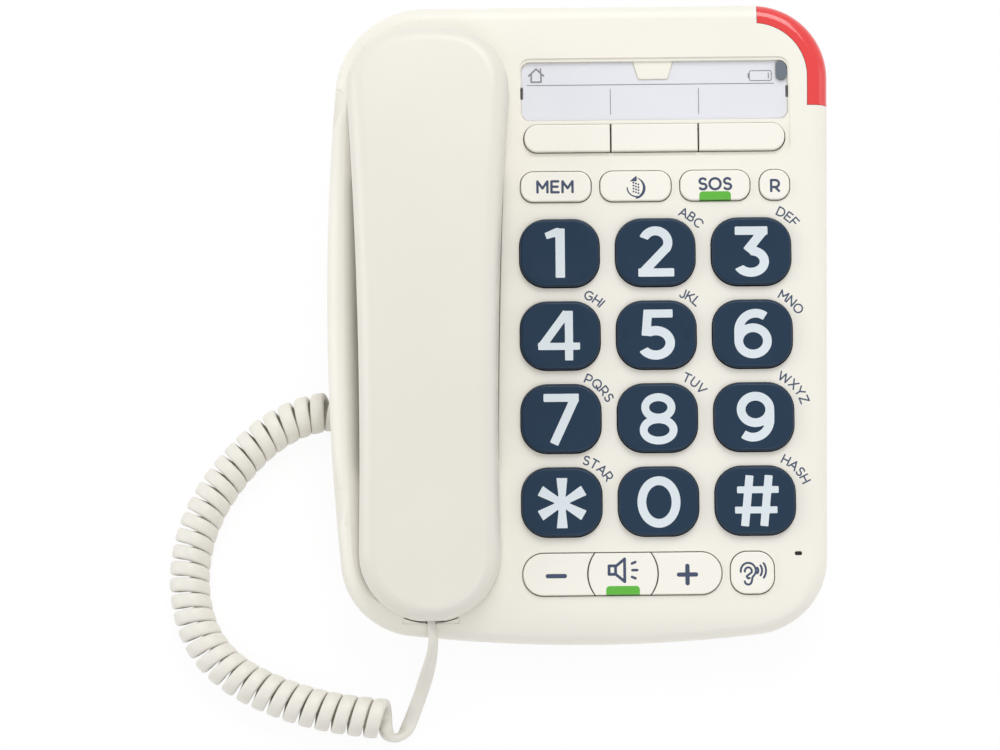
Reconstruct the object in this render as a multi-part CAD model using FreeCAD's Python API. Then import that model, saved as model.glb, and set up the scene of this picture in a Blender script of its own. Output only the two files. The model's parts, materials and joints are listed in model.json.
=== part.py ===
import FreeCAD, Part
import math
import os
from FreeCAD import Matrix, Vector

# Corded desk telephone with large keys. Lengths are millimetres, +Z is up, +X right, +Y to the rear.
# What belongs to the sloping face is drawn in the face's own frame: u across, v up the slope, w out of it.

# Face and housing
FACE_TILT = 10.0
FACE_HEIGHT = 42.0
BODY_LEFT = 84.4
BODY_LEFT_V = 8.0
BODY_LEFT_BOW = 943.0
BODY_RIGHT_REAR = 84.9
BODY_RIGHT_FRONT = 81.0
BODY_REAR = 109.4
BODY_FRONT = 105.4
FRONT_BOW = 560.0
CORNER_RADIUS = 25.0
REAR_LEFT_CORNER = 30.0
EDGE_RADIUS = 5.0
ROLL_RADIUS = 28.0
ROLL_START = 88.0
WALL = 2.2
PARTING = 16.0
REVEAL = 1.2
TONGUE_HEIGHT = 2.0
TONGUE_WIDTH = 1.2
TONGUE_FIT = 0.15
FOOT_HEIGHT = 2.0
FOOT_RADIUS = 7.0
FOOT_SEAT = 0.8

# Handset and its trough
HANDSET_U = -49.8
HANDSET_WAIST = 22.7
HANDSET_WAIST_V = -35.0
HANDSET_SIDE_BOW = 1700.0
EAR_END = 99.7
MOUTH_END = 97.8
END_CROWN = 60.0
EAR_CORNER = 20.0
MOUTH_CORNER = 22.4
HANDSET_BACK = 21.5
BACK_BOW = 560.0
BACK_TOP_V = 18.0
HANDSET_EDGE = 6.0
HANDSET_SKIN = 2.0
HANDSET_PARTING = 6.0
CAP_DEPTH = 10.5
GRIP_RISE = 3.4
GRIP_BOW = 900.0
EAR_CAP_INNER = 60.0
EAR_CAP_RAMP = 10.0
MOUTH_CAP_INNER = 57.0
MOUTH_CAP_RAMP = 10.0
LEDGE_HEIGHT = 0.4
CAP_INSET = 1.6
TROUGH_INSET = 1.0
TROUGH_PEEP = 0.3
TROUGH_PEEP_V = -3.0
CRADLE_RIM = (-71.0, -95.0, 97.0)
ROUNDOVER = 5.8
ROUNDOVER_LIFT = 0.05
ROUNDOVER_HIDDEN = 1.5
ROUNDOVER_CORNER = 19.0
ROUNDOVER_LEFT = 79.2
ROUNDOVER_LEFT_V = 5.0
ROUNDOVER_LEFT_REAR = 77.9
ROUNDOVER_LEFT_FRONT = 75.9
BRIDGE_HEIGHT = 4.3
BRIDGE_RAMP = 7.0

# Fits
CLEAR = 0.3
BORE_FIT = 0.05
KEY_GAP = 0.4

# Keys
KEY_PITCH_U = 32.0
KEY_PITCH_V = 27.77
KEY_COLUMN = 25.64
KEY_ROW = 24.43
KEY_WIDTH = 26.3
KEY_HEIGHT = 22.6
KEY_CORNER = 8.7
KEY_PROUD = 2.4
KEY_EDGE = 0.9
KEY_DISH = 110.0
KEY_DISH_DEPTH = 0.45
KEY_FLANGE = 1.0
KEY_FLANGE_THICK = 1.4
KEY_SKIN = 1.6
SMALL_KEY_PROUD = 1.2
SMALL_KEY_EDGE = 0.5
RIDGE_OFFSET = 10.4
RIDGE_WIDTH = 0.8
RIDGE_LENGTH = 2.4
RIDGE_PROUD = 0.3

# Rows of small keys: left edge, right edge, both across the face
FUNCTION_KEYS = (
    ("memory_store_key", -19.1, 4.3),
    ("redial_key", 7.5, 31.1),
    ("sos_key", 34.3, 57.5),
    ("recall_key", 60.9, 70.8),
)
FUNCTION_ROW = 47.0
FUNCTION_HEIGHT = 10.1
FUNCTION_CORNER = 4.2
MEMORY_LEFT = -18.2
MEMORY_DIVIDERS = (11.2, 40.6)
MEMORY_RIGHT = 69.9
MEMORY_ROW = 63.5
MEMORY_HEIGHT = 9.2
MEMORY_FLANGE = 0.8
MEMORY_CORNER = 4.4
MEMORY_SPLIT = 0.5
BAR_LEFT = -19.3
BAR_RIGHT = 46.1
BAR_ROW = -82.7
BAR_HEIGHT = 13.8
BAR_CORNER = 6.7
SPEAKER_LEFT = 2.0
SPEAKER_RIGHT = 25.2
SPEAKER_BOW = 11.5
BOOST_CENTRE = 56.3
BOOST_WIDTH = 14.2
BOOST_HEIGHT = 13.8
BOOST_CORNER = 5.3
SOS_LENS = (40.6, 51.2)
SPEAKER_LENS = (8.0, 19.1)
KEY_LENS_HEIGHT = 2.9
KEY_LENS_DEPTH = 2.2

# Label window
RECESS = (-19.4, 71.5, 57.4, 91.0)
RECESS_DEPTH = 0.6
RECESS_CORNER = 3.6
WINDOW = (-18.9, 71.0, 69.7, 89.9)
WINDOW_CORNER = 3.0
WINDOW_DEPTH = 1.6
TRAY_SKIN = 1.4
CARD_THICK = 0.3
COVER_THICK = 1.0
CLIP_V = (77.3, 81.5)
CLIP_WIDTH = 0.8
CLIP_SIDE = 0.15
NOTCH_U = 25.6
NOTCH_WIDTH = 14.0
NOTCH_NARROW = 9.6
NOTCH_HEIGHT = 6.0
NOTCH_PAD = 0.8
BATTERY_LAMP_WIDTH = 3.6
BATTERY_LAMP_HEIGHT = 6.4

# Ring lamp
LAMP_LEFT = 61.0
LAMP_FRONT = 74.3
LAMP_BAND = 6.8
LAMP_DEPTH = 9.0
LAMP_SKIN = 2.4
LAMP_FIT = 0.15
LED_RADIUS = 1.5
LED_HEIGHT = 3.2
LED_BOARD = 1.2
LED_ANGLES = (15.0, 45.0, 75.0)

# Works inside
BOARD = (-17.6, 71.3, -93.0, 68.6)
BOARD_TOP = 9.4
BOARD_THICK = 1.6
BOARD_CORNER = 3.0
MAT_THICK = 0.9
MAT_MARGIN = 1.0
DOME_RADIUS = 3.4
DOME_TOP_RADIUS = 2.2
POST_RADIUS = 2.8
MIC_U = 71.65
MIC_V = -76.4
MIC_SLOT = (2.5, 1.4)
MIC_RADIUS = 3.0
MIC_HEIGHT = 4.0
MIC_WALL = 1.5
HOOK_V = 76.0
HOOK_TRAVEL = 3.5
HOOK_SLOT = (7.0, 13.0)
HOOK_CORNER = 1.2
HOOK_SHOULDER = 2.0
HOOK_SHOULDER_HEIGHT = 5.0
SWITCH = (7.0, 13.0, 6.4)
SWITCH_PLATE = 1.6
TAB_V = 41.0
TAB_SIZE = (12.0, 3.2, 9.0)
TAB_FIT = 0.15
TAB_DENT = 1.2

# Lower housing: screw places are x, y and the height where the bosses meet
SCREWS = (
    (-62.0, -64.0, 9.0),
    (75.3, -45.0, 11.0),
    (76.6, 52.0, 14.0),
    (-66.0, 58.0, 14.0),
    (0.0, 94.0, 14.0),
)
SCREW_RADIUS = 1.5
SCREW_HEAD = 2.8
SCREW_HEAD_HEIGHT = 2.0
SCREW_GRIP = 3.0
SCREW_FLANGE = 1.2
SCREW_LENGTH = 8.0
BOSS_RADIUS = 4.4
UPPER_BOSS_RADIUS = 3.0
FEET = ((-66.0, -84.0), (64.0, -84.0), (-66.0, 90.0), (66.0, 90.0))
CHANNEL_Y = -22.0
CHANNEL_WIDTH = 17.0
CHANNEL_TOP = 16.8
CHANNEL_END = -64.0
CHANNEL_SKIN = 2.0
CHANNEL_CORNER = 4.0
JACK_FIT = 0.15
JACK_Z = 7.5
JACK = (15.0, 13.0, 11.0)
JACK_CAVITY = (12.4, 7.9, 7.1)
PLUG = (11.6, 7.6, 6.6)
PLUG_RECESS = 0.5
LATCH = (7.0, 3.2, 1.0)
LINE_JACK_X = 36.0
LINE_JACK_Z = 13.0
LINE_JACK = (13.4, 14.0, 12.0)
LINE_CAVITY = (12.0, 9.9, 7.2)
RINGER_X = -6.0
RINGER_Z = 20.0
RINGER_TRAVEL = 3.0
RINGER_KNOB = (5.6, 3.6)
RINGER_PLATE = (16.0, 8.0, 1.2)
RINGER_PROUD = 1.8
RAIL_THICK = 1.5
SPEAKER_X = 27.0
SPEAKER_Y = 52.0
SPEAKER_RADIUS = 25.0
SPEAKER_DEPTH = 14.0
SPEAKER_RIM = 2.5
SPEAKER_WALL = 1.5
GRILLE_SLOTS = 9
GRILLE_PITCH = 4.4
GRILLE_SLOT = 2.0
GRILLE_RADIUS = 20.0
KEYHOLES = ((-30.0, 66.0), (-30.0, -50.0))
KEYHOLE_HEAD = 4.2
KEYHOLE_NECK = 2.2
KEYHOLE_RUN = 8.0
CELL_RADIUS = 5.25
CELL_LENGTH = 44.5
CELL_COUNT = 3
CELL_GAP = 0.5
BATTERY_X = 27.0
BATTERY_Y = -19.0
CONTACT_ROOM = 2.6
CONTACT_THICK = 0.5
CONTACT_WIDTH = 8.0
CELL_NUB = 1.9
DOOR_THICK = 1.6
DOOR_LEDGE = 1.8
DOOR_TRAVEL = 6.0
DOOR_RECESS = 0.2
DOOR_FIT = 0.25
DOOR_SEAT = 2.0
DOOR_RIDGES = 5
DOOR_RIDGE_PITCH = 2.0

# Handset works
EARPIECE_V = 80.0
EARPIECE_RADIUS = 16.0
EARPIECE_DEPTH = 8.0
EARPIECE_RIM = 2.0
EAR_HOLE = 0.95
EAR_HOLES = 8
EAR_HOLE_RING = 7.0
EAR_DISH = 42.0
EAR_DISH_DEPTH = 1.2
MOUTH_MIC_V = -71.0
MOUTH_MIC_RADIUS = 4.8
MOUTH_MIC_DEPTH = 5.0
MOUTH_SLOT = (5.0, 1.6)
WEIGHT = (26.0, 52.0, 4.0)
MOUTH_JACK_W = 0.4
MOUTH_JACK_BACK = 1.1
MOUTH_PLUG_RECESS = 1.2
HANDSET_SCREWS = (36.0, -44.0)

# Curly cord
CORD_WIDTH = 3.6
CORD_SIDES = 6
COIL_RADIUS = 4.95
COIL_TURNS = 33.25
RAMP_LENGTH = 13.0
COIL_AXIS = (
    (-72.6, -22.0),
    (-88.5, -22.0),
    (-105.0, -29.0),
    (-119.5, -44.0),
    (-129.5, -61.5),
    (-132.8, -81.5),
    (-128.6, -100.5),
    (-118.0, -113.0),
    (-101.5, -121.5),
    (-82.5, -127.0),
    (-65.6, -128.2),
)
EXIT_RUN = 4.5
LEAD_RUN = 3.3
LEAD_POINTS = (
    (-63.9, -137.6, 1.9),
    (-60.6, -137.8, 1.95),
    (-58.1, -135.6, 2.3),
    (-56.7, -131.3, 3.9),
    (-55.1, -126.0, 6.9),
    (-53.2, -120.9, 10.9),
    (-51.4, -115.6, 16.0),
    (-50.3, -110.4, 21.2),
)


# Frames

def slope(u, v, w):
    """The point of the desk frame that lies at u, v, w on the face."""
    tilt = math.radians(FACE_TILT)
    y = v * math.cos(tilt) - w * math.sin(tilt)
    z = v * math.sin(tilt) + w * math.cos(tilt)
    return Vector(u, y + origin_y(), z + FACE_HEIGHT)


def origin_y():
    """Where the face's frame stands, so that the housing reaches as far forward as back."""
    tilt = math.radians(FACE_TILT)
    rear = BODY_REAR * math.cos(tilt) + PARTING * math.sin(tilt)
    inner = ROLL_RADIUS - EDGE_RADIUS
    along = BODY_FRONT - EDGE_RADIUS
    down = ROLL_RADIUS - math.sqrt(inner**2 - (along - ROLL_START) ** 2)
    front = -along * math.cos(tilt) + down * math.sin(tilt) - EDGE_RADIUS
    return -(rear + front) / 2


def onto_face(shape):
    """Turns a shape drawn on the face into the desk frame."""
    turn = Matrix()
    turn.rotateX(math.radians(FACE_TILT))
    turn.move(Vector(0, origin_y(), FACE_HEIGHT))
    return shape.transformed(turn, True)


# Drawing tools

def closed(corners):
    """A face through corners, where a corner given as a pair is the middle of an arc and its end."""
    edges = []
    here = corners[0]
    for corner in corners[1:]:
        if isinstance(corner, tuple):
            edges.append(Part.Arc(here, corner[0], corner[1]).toShape())
            here = corner[1]
        else:
            edges.append(Part.LineSegment(here, corner).toShape())
            here = corner
    return Part.Face(Part.Wire(edges))


def prism(face, low, high):
    base = face.copy()
    base.translate(Vector(0, 0, low))
    return base.extrude(Vector(0, 0, high - low))


def uprights(shape):
    """The straight edges that run along the third axis."""
    found = []
    for edge in shape.Edges:
        if isinstance(edge.Curve, Part.Line) and abs(edge.tangentAt(edge.FirstParameter).z) > 0.999:
            found.append(edge)
    return found


def edges_at(shape, height):
    """The edges that lie in the plane at one height."""
    return [e for e in shape.Edges if abs(e.BoundBox.ZMin - height) < 1e-4 and e.BoundBox.ZLength < 1e-4]


def box(x, y, z):
    """A box from three pairs of low and high."""
    return Part.makeBox(x[1] - x[0], y[1] - y[0], z[1] - z[0], Vector(x[0], y[0], z[0]))


def around(centre, size):
    return (centre - size / 2, centre + size / 2)


def pad(x, y, z, radius):
    """A box with rounded upright corners."""
    plain = box(x, y, z)
    return plain.makeFillet(radius, uprights(plain))


def post(x, y, low, high, radius):
    return Part.makeCylinder(radius, high - low, Vector(x, y, low))


def joined(shapes):
    first, rest = shapes[0], shapes[1:]
    return first.fuse(rest).removeSplitter() if rest else first


def drop(across, radius):
    """How far an arc falls from its crown at a distance to the side."""
    return radius - math.sqrt(radius**2 - across**2)


def base_face(solid):
    """The face of a prism that lies at its foot, w = 0."""
    return Part.Face(Part.Wire(Part.__sortEdges__(edges_at(solid, 0))))


# Housing form

def body_outline(inset):
    """The housing seen square on, drawn in by an inset."""
    rear_in = drop(BODY_REAR - BODY_LEFT_V, BODY_LEFT_BOW)
    front_in = drop(BODY_FRONT + BODY_LEFT_V, BODY_LEFT_BOW)
    front_left = Vector(front_in - BODY_LEFT, drop(BODY_LEFT, FRONT_BOW) - BODY_FRONT, 0)
    front_right = Vector(BODY_RIGHT_FRONT, drop(BODY_RIGHT_FRONT, FRONT_BOW) - BODY_FRONT, 0)
    rear_right = Vector(BODY_RIGHT_REAR, BODY_REAR, 0)
    rear_left = Vector(rear_in - BODY_LEFT, BODY_REAR, 0)
    left_middle = Vector(-BODY_LEFT, BODY_LEFT_V, 0)
    front_middle = Vector(0, -BODY_FRONT, 0)
    face = closed([rear_left, rear_right, front_right, (front_middle, front_left), (left_middle, rear_left)])
    if inset:
        face = Part.Face(face.makeOffset2D(-inset, 2).Wires[0])
    sharp = prism(face, 0, 1)
    corners = uprights(sharp)
    wide = [e for e in corners if e.Vertexes[0].X < 0 and e.Vertexes[0].Y > 0]
    body = sharp.makeFillet(REAR_LEFT_CORNER - inset, wide)
    rest = [e for e in uprights(body) if e.Vertexes[0].X > 0 or e.Vertexes[0].Y < 0]
    return body.makeFillet(CORNER_RADIUS - inset, rest)


def outline_face(inset):
    """The rounded outline as a flat face at w = 0."""
    return base_face(body_outline(inset))


def roll_profile(inset):
    """What lies under the face and its rolled front, as seen from the side."""
    reach = BODY_REAR + 20
    radius = ROLL_RADIUS - inset
    turn = math.radians(50)
    middle = Vector(0, -ROLL_START - radius * math.sin(turn / 2), -ROLL_RADIUS + radius * math.cos(turn / 2))
    end = Vector(0, -ROLL_START - radius * math.sin(turn), -ROLL_RADIUS + radius * math.cos(turn))
    corners = [
        Vector(0, reach, -inset),
        Vector(0, -ROLL_START, -inset),
        (middle, end),
        Vector(0, -reach - 20, end.z - 10),
        Vector(0, -reach - 20, -90),
        Vector(0, reach, -90),
        Vector(0, reach, -inset),
    ]
    side = closed(corners)
    side.translate(Vector(-120, 0, 0))
    return side.extrude(Vector(240, 0, 0))


def slab(inset, depth):
    """The upper housing's form, drawn in by an inset all round and from the face."""
    block = prism(outline_face(inset), -depth, 5).common(roll_profile(inset))
    radius = EDGE_RADIUS - min(inset, EDGE_RADIUS - 1.0)
    return block.makeFillet(radius, [e for e in block.Edges if is_rim(e, depth)])


def is_rim(edge, depth):
    """True for the edges where the housing's wall meets its top."""
    room = edge.BoundBox
    if room.ZMin < -depth + 1e-3:
        return False
    along_face = room.XLength > BODY_LEFT and room.YLength < 1e-3
    return room.YMin > 0 or not along_face


# Handset and trough forms

def half_width(v):
    """Half of the handset's width at a place along it."""
    return HANDSET_WAIST + drop(v - HANDSET_WAIST_V, HANDSET_SIDE_BOW)


def end_corners(gap):
    """Half widths and places of the sharp corners at the ear and the mouth."""
    ear, mouth = half_width(EAR_END) + gap, half_width(-MOUTH_END) + gap
    return ear, EAR_END + gap - drop(ear, END_CROWN), mouth, drop(mouth, END_CROWN) - MOUTH_END - gap


def handset_plan(grow):
    """The handset seen square on, with crowned ends and a waist."""
    ear, ear_v, mouth, mouth_v = end_corners(0)
    rear_left = Vector(HANDSET_U - ear, ear_v, 0)
    corners = [
        rear_left,
        (Vector(HANDSET_U, EAR_END, 0), Vector(HANDSET_U + ear, ear_v, 0)),
        (Vector(HANDSET_U + HANDSET_WAIST, HANDSET_WAIST_V, 0), Vector(HANDSET_U + mouth, mouth_v, 0)),
        (Vector(HANDSET_U, -MOUTH_END, 0), Vector(HANDSET_U - mouth, mouth_v, 0)),
        (Vector(HANDSET_U - HANDSET_WAIST, HANDSET_WAIST_V, 0), rear_left),
    ]
    return rounded_plan(closed(corners), grow, EAR_CORNER, MOUTH_CORNER)


def rounded_plan(face, grow, ear_corner, mouth_corner):
    """Grows a plan and rounds its corners at both ends."""
    if grow:
        face = Part.Face(face.makeOffset2D(grow, 2).Wires[0])
    sharp = prism(face, 0, 1)
    for end, radius in ((1, ear_corner + grow), (-1, mouth_corner + grow)):
        sharp = sharp.makeFillet(radius, [e for e in uprights(sharp) if end * e.Vertexes[0].Y > 0])
    return base_face(sharp)


def back_height(v):
    """The height of the handset's arched back."""
    return HANDSET_BACK - drop(v - BACK_TOP_V, BACK_BOW)


def handset_side():
    """The handset seen from the side: an arched back, two caps and a grip between them."""
    rear, front = EAR_END + 5, -MOUTH_END - 5
    ear_ramp = EAR_CAP_INNER - EAR_CAP_RAMP
    mouth_ramp = -MOUTH_CAP_INNER + MOUTH_CAP_RAMP
    middle = (ear_ramp + mouth_ramp) / 2
    sag = drop(ear_ramp - middle, GRIP_BOW)
    corners = [
        Vector(0, front, back_height(front)),
        (Vector(0, BACK_TOP_V, HANDSET_BACK), Vector(0, rear, back_height(rear))),
        Vector(0, rear, -CAP_DEPTH),
        Vector(0, EAR_CAP_INNER, -CAP_DEPTH),
        Vector(0, ear_ramp, GRIP_RISE - sag),
        (Vector(0, middle, GRIP_RISE), Vector(0, mouth_ramp, GRIP_RISE - sag)),
        Vector(0, -MOUTH_CAP_INNER, -CAP_DEPTH),
        Vector(0, front, -CAP_DEPTH),
        Vector(0, front, back_height(front)),
    ]
    return closed(corners)


def across(face, half=60.0):
    """Extrudes a side view to both sides of the handset's axis."""
    side = face.copy()
    side.translate(Vector(HANDSET_U - half, 0, 0))
    return side.extrude(Vector(2 * half, 0, 0))


def handset_form(skin):
    """The handset's outer form, or its inside where a skin is given. Its caps step in under a ledge."""
    side = handset_side()
    if skin:
        side = Part.Face(side.makeOffset2D(-skin, 2).Wires[0])
    ledge = LEDGE_HEIGHT + skin
    outline, caps = handset_plan(-skin), prism(handset_plan(-skin - CAP_INSET), -40, ledge)
    collar_width = JACK[1] + 2 * (HANDSET_SKIN + CLEAR - skin)
    collar = box(around(HANDSET_U, collar_width), (-2 * MOUTH_END, 0), (-40, ledge))
    low = prism(outline, -40, ledge).common(caps.fuse(collar))
    block = prism(outline, ledge, 60).fuse(low).removeSplitter().common(across(side))
    back = [e for e in block.Edges if e.BoundBox.ZMin > HANDSET_PARTING]
    return block.makeFillet(HANDSET_EDGE - skin, back)


def trough_plan(grow):
    """The trough seen square on, hidden under the handset but for a slit right of its waist."""
    ear, ear_v, mouth, mouth_v = end_corners(-TROUGH_INSET)
    rear, front = EAR_END - TROUGH_INSET, TROUGH_INSET - MOUTH_END
    rear_left = Vector(HANDSET_U - ear, ear_v, 0)
    left = HANDSET_U - half_width(TROUGH_PEEP_V) + TROUGH_INSET
    right = HANDSET_U + half_width(TROUGH_PEEP_V) + TROUGH_PEEP
    corners = [
        rear_left,
        (Vector(HANDSET_U, rear, 0), Vector(HANDSET_U + ear, ear_v, 0)),
        (Vector(right, TROUGH_PEEP_V, 0), Vector(HANDSET_U + mouth, mouth_v, 0)),
        (Vector(HANDSET_U, front, 0), Vector(HANDSET_U - mouth, mouth_v, 0)),
        (Vector(left, TROUGH_PEEP_V, 0), rear_left),
    ]
    return rounded_plan(closed(corners), grow, EAR_CORNER - TROUGH_INSET, MOUTH_CORNER - TROUGH_INSET)


def roundover():
    """What the rounded rim left of the handset leaves free. Its other sides end under the handset."""
    gap = -ROUNDOVER_HIDDEN
    ear, ear_v, mouth, mouth_v = end_corners(gap)
    rear_v = EAR_END + gap - drop(ROUNDOVER_LEFT_REAR + HANDSET_U, END_CROWN)
    front_v = drop(ROUNDOVER_LEFT_FRONT + HANDSET_U, END_CROWN) - MOUTH_END - gap
    rear_left, front_left = Vector(-ROUNDOVER_LEFT_REAR, rear_v, 0), Vector(-ROUNDOVER_LEFT_FRONT, front_v, 0)
    right = HANDSET_U + HANDSET_WAIST + gap
    corners = [
        rear_left,
        (Vector(HANDSET_U, EAR_END + gap, 0), Vector(HANDSET_U + ear, ear_v, 0)),
        (Vector(right, HANDSET_WAIST_V, 0), Vector(HANDSET_U + mouth, mouth_v, 0)),
        (Vector(HANDSET_U, -MOUTH_END - gap, 0), front_left),
        (Vector(-ROUNDOVER_LEFT, ROUNDOVER_LEFT_V, 0), rear_left),
    ]
    plan = rounded_plan(closed(corners), -ROUNDOVER, ROUNDOVER_CORNER, ROUNDOVER_CORNER)
    plate = box((-2 * BODY_LEFT, 0), (-2 * BODY_FRONT, 2 * BODY_REAR), (ROUNDOVER_LIFT, 20))
    whole = plate.fuse(prism(plan, well_floor() + BRIDGE_HEIGHT, ROUNDOVER_LIFT)).removeSplitter()
    inner = [e for e in edges_at(whole, ROUNDOVER_LIFT) if e.BoundBox.XMin > -BODY_LEFT]
    return whole.makeFillet(ROUNDOVER, inner)


def well_floor():
    """Where the trough's floor lies under the handset's caps."""
    return -CAP_DEPTH - CLEAR


def trough_side(skin):
    """The trough's floor seen from the side: two wells with a bridge between them."""
    floor = well_floor() - skin
    bridge = floor + BRIDGE_HEIGHT
    ear, mouth = EAR_CAP_INNER - 3.0 - skin / 2, -MOUTH_CAP_INNER + 3.0 + skin / 2
    corners = [
        Vector(0, 130, 40),
        Vector(0, -130, 40),
        Vector(0, -130, floor),
        Vector(0, mouth, floor),
        Vector(0, mouth + BRIDGE_RAMP, bridge),
        Vector(0, ear - BRIDGE_RAMP, bridge),
        Vector(0, ear, floor),
        Vector(0, 130, floor),
        Vector(0, 130, 40),
    ]
    return closed(corners)


def trough(skin):
    """The trough with a notch for the handset's jack, or its outside where a skin is given."""
    notch = box(around(HANDSET_U, JACK[1] + 2 * (HANDSET_SKIN + 3 * CLEAR + skin)),
                (-MOUTH_END - 2 * CLEAR - skin, 0), (-40, 40))
    return prism(trough_plan(skin), -40, 40).fuse(notch).removeSplitter().common(across(trough_side(skin)))


# Upper housing

def rounded(u, v, corner, grow=0):
    """A flat face with rounded corners between two pairs of limits, larger by a growth all round."""
    return base_face(pad((u[0] - grow, u[1] + grow), (v[0] - grow, v[1] + grow), (0, 1), corner + grow))


def window_face(inset):
    left, right, front, rear = WINDOW
    return rounded((left + inset, right - inset), (front + inset, rear - inset), WINDOW_CORNER)


def notch_face(gap):
    """The finger notch at the middle of the window's rear edge."""
    rear = WINDOW[3] + 1
    front = WINDOW[3] - NOTCH_HEIGHT - gap
    wide, narrow = NOTCH_WIDTH / 2 + gap, NOTCH_NARROW / 2 + gap
    corners = [
        Vector(NOTCH_U - wide, rear, 0),
        Vector(NOTCH_U - narrow, front, 0),
        Vector(NOTCH_U + narrow, front, 0),
        Vector(NOTCH_U + wide, rear, 0),
        Vector(NOTCH_U - wide, rear, 0),
    ]
    return closed(corners)


def battery_lamp_face(gap):
    """A small rounded lamp in the window's rear right corner."""
    right, rear = WINDOW[1] - CLEAR, WINDOW[3] - CLEAR
    ends = (right - BATTERY_LAMP_WIDTH, right), (rear - BATTERY_LAMP_HEIGHT, rear)
    return rounded(*ends, BATTERY_LAMP_WIDTH / 2 - 0.1, gap)


def window_floor():
    return -RECESS_DEPTH - WINDOW_DEPTH


def clip_slots():
    """The slots at both ends of the window that take the cover's clips."""
    depth = (window_floor() - TRAY_SKIN - 1, 1)
    left, right = WINDOW[0], WINDOW[1]
    return [box((left - CLIP_SIDE, left + CLIP_WIDTH), CLIP_V, depth),
            box((right - CLIP_WIDTH, right + CLIP_SIDE), CLIP_V, depth)]


def ring(outer, inner, low, high):
    """A band along the housing's outline, between two distances in from its side."""
    return prism(outline_face(outer), low, high).cut(prism(outline_face(inner), low - 1, high + 1))


def lamp_band(grow):
    """The upright block in the rear right corner that the ring lamp's lens fills."""
    zone = box((LAMP_LEFT - grow, 140), (LAMP_FRONT - grow, 160), (-40, 40))
    return ring(-3.0, LAMP_BAND + grow, -LAMP_DEPTH - grow, 10).common(zone)


def hook_bottom():
    """Where the sleeve ends, so that the plunger's shoulder has its travel inside."""
    return well_floor() - WALL - HOOK_TRAVEL - CLEAR - HOOK_SHOULDER_HEIGHT


def hook_block(grow, low, high):
    """A block round the plunger's shoulder, larger by a growth on every side."""
    wide, long = HOOK_SLOT[0] + 2 * (HOOK_SHOULDER + grow), HOOK_SLOT[1] + 2 * (HOOK_SHOULDER + grow)
    return box(around(HANDSET_U, wide), around(HOOK_V, long), (low, high))


def tab_pocket(grow):
    """A block round the hook tab, open at the bridge."""
    wide, thick, deep = TAB_SIZE
    top = well_floor() + BRIDGE_HEIGHT
    return box(around(HANDSET_U, wide + 2 * grow), around(TAB_V, thick + 2 * grow), (top - deep - grow, top))


def board_posts(radius, low, high):
    """The posts between the dial keys that the board is fixed to."""
    places = []
    for u in (KEY_COLUMN - KEY_PITCH_U / 2, KEY_COLUMN + KEY_PITCH_U / 2):
        for v in (KEY_ROW - KEY_PITCH_V / 2, KEY_ROW - KEY_PITCH_V * 5 / 2):
            places.append(post(u, v, low, high, radius))
    return places


def upper_bosses():
    """The bosses that take the housing screws, upright on the desk and closed by the housing's skin."""
    clip = onto_face(slab(WALL / 2, 70)).cut(onto_face(trough(WALL / 2)))
    made = []
    for x, y, z in SCREWS:
        bore = post(x, y, z - 1, z + SCREW_LENGTH - SCREW_GRIP + 1, SCREW_RADIUS + BORE_FIT)
        made.append(post(x, y, z, 90, UPPER_BOSS_RADIUS).common(clip).cut(bore))
    return made


def mic_boss(radius, low, high):
    return post(MIC_U, MIC_V, low, high, radius)


def hook_opening():
    """The opening in the ear well that the plunger stands in."""
    wide, long = HOOK_SLOT[0] + 2 * CLEAR, HOOK_SLOT[1] + 2 * CLEAR
    return pad(around(HANDSET_U, wide), around(HOOK_V, long), (-30, 10), HOOK_CORNER + CLEAR)


def window_cuts():
    """The recess round the window, the window's pocket with its notch pad left standing, and the slots."""
    floor = window_floor()
    pocket = prism(window_face(0), floor, 5).cut(prism(notch_face(0), floor, floor + NOTCH_PAD))
    return [prism(rounded(RECESS[:2], RECESS[2:], RECESS_CORNER), -RECESS_DEPTH, 5), pocket] + clip_slots()


def microphone_cuts():
    slot = pad(around(MIC_U, MIC_SLOT[0]), around(MIC_V, MIC_SLOT[1]), (-20, 5), MIC_SLOT[1] / 2 - 0.05)
    return [mic_boss(MIC_RADIUS + BORE_FIT, -20, -WALL), slot]


def cradle_rim():
    """The solid rim between the trough and the housing's left, front and rear sides."""
    low = well_floor() - WALL
    right = HANDSET_U + half_width(EAR_END)
    left, front, rear = CRADLE_RIM
    whole = box((-2 * BODY_LEFT, right), (-2 * BODY_FRONT, 2 * BODY_REAR), (low, 10))
    return whole.cut(box((left, right + 1), (front, rear), (low - 1, 11)))


def upper_housing():
    left, right, front, rear = WINDOW
    tray = rounded((left - TRAY_SKIN, right + TRAY_SKIN), (front - CLEAR, rear + TRAY_SKIN), WINDOW_CORNER)
    room = slab(WALL, PARTING).cut([trough(WALL), cradle_rim(), prism(tray, window_floor() - TRAY_SKIN, 0)])
    skin = -WALL / 2
    below_bridge = box((-90, 0), (0, 90), (-40, well_floor() + BRIDGE_HEIGHT + skin))
    carriers = [hook_block(WALL, hook_bottom(), well_floor() + skin), tab_pocket(WALL).common(below_bridge),
                mic_boss(MIC_RADIUS + MIC_WALL, -WALL - MIC_WALL, skin)]
    body = slab(0, PARTING).cut(room).fuse(carriers + board_posts(POST_RADIUS, -BOARD_TOP, skin))
    cuts = [trough(0), roundover(), hook_block(CLEAR, hook_bottom() - 1, well_floor() - WALL),
            hook_opening(), tab_pocket(TAB_FIT), lamp_band(LAMP_FIT)]
    body = body.cut(cuts + window_cuts() + key_holes() + microphone_cuts())
    return onto_face(body).fuse(upper_bosses()).removeSplitter()


# Keys

def key_bottom():
    return -(WALL + CLEAR + KEY_FLANGE_THICK)


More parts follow.
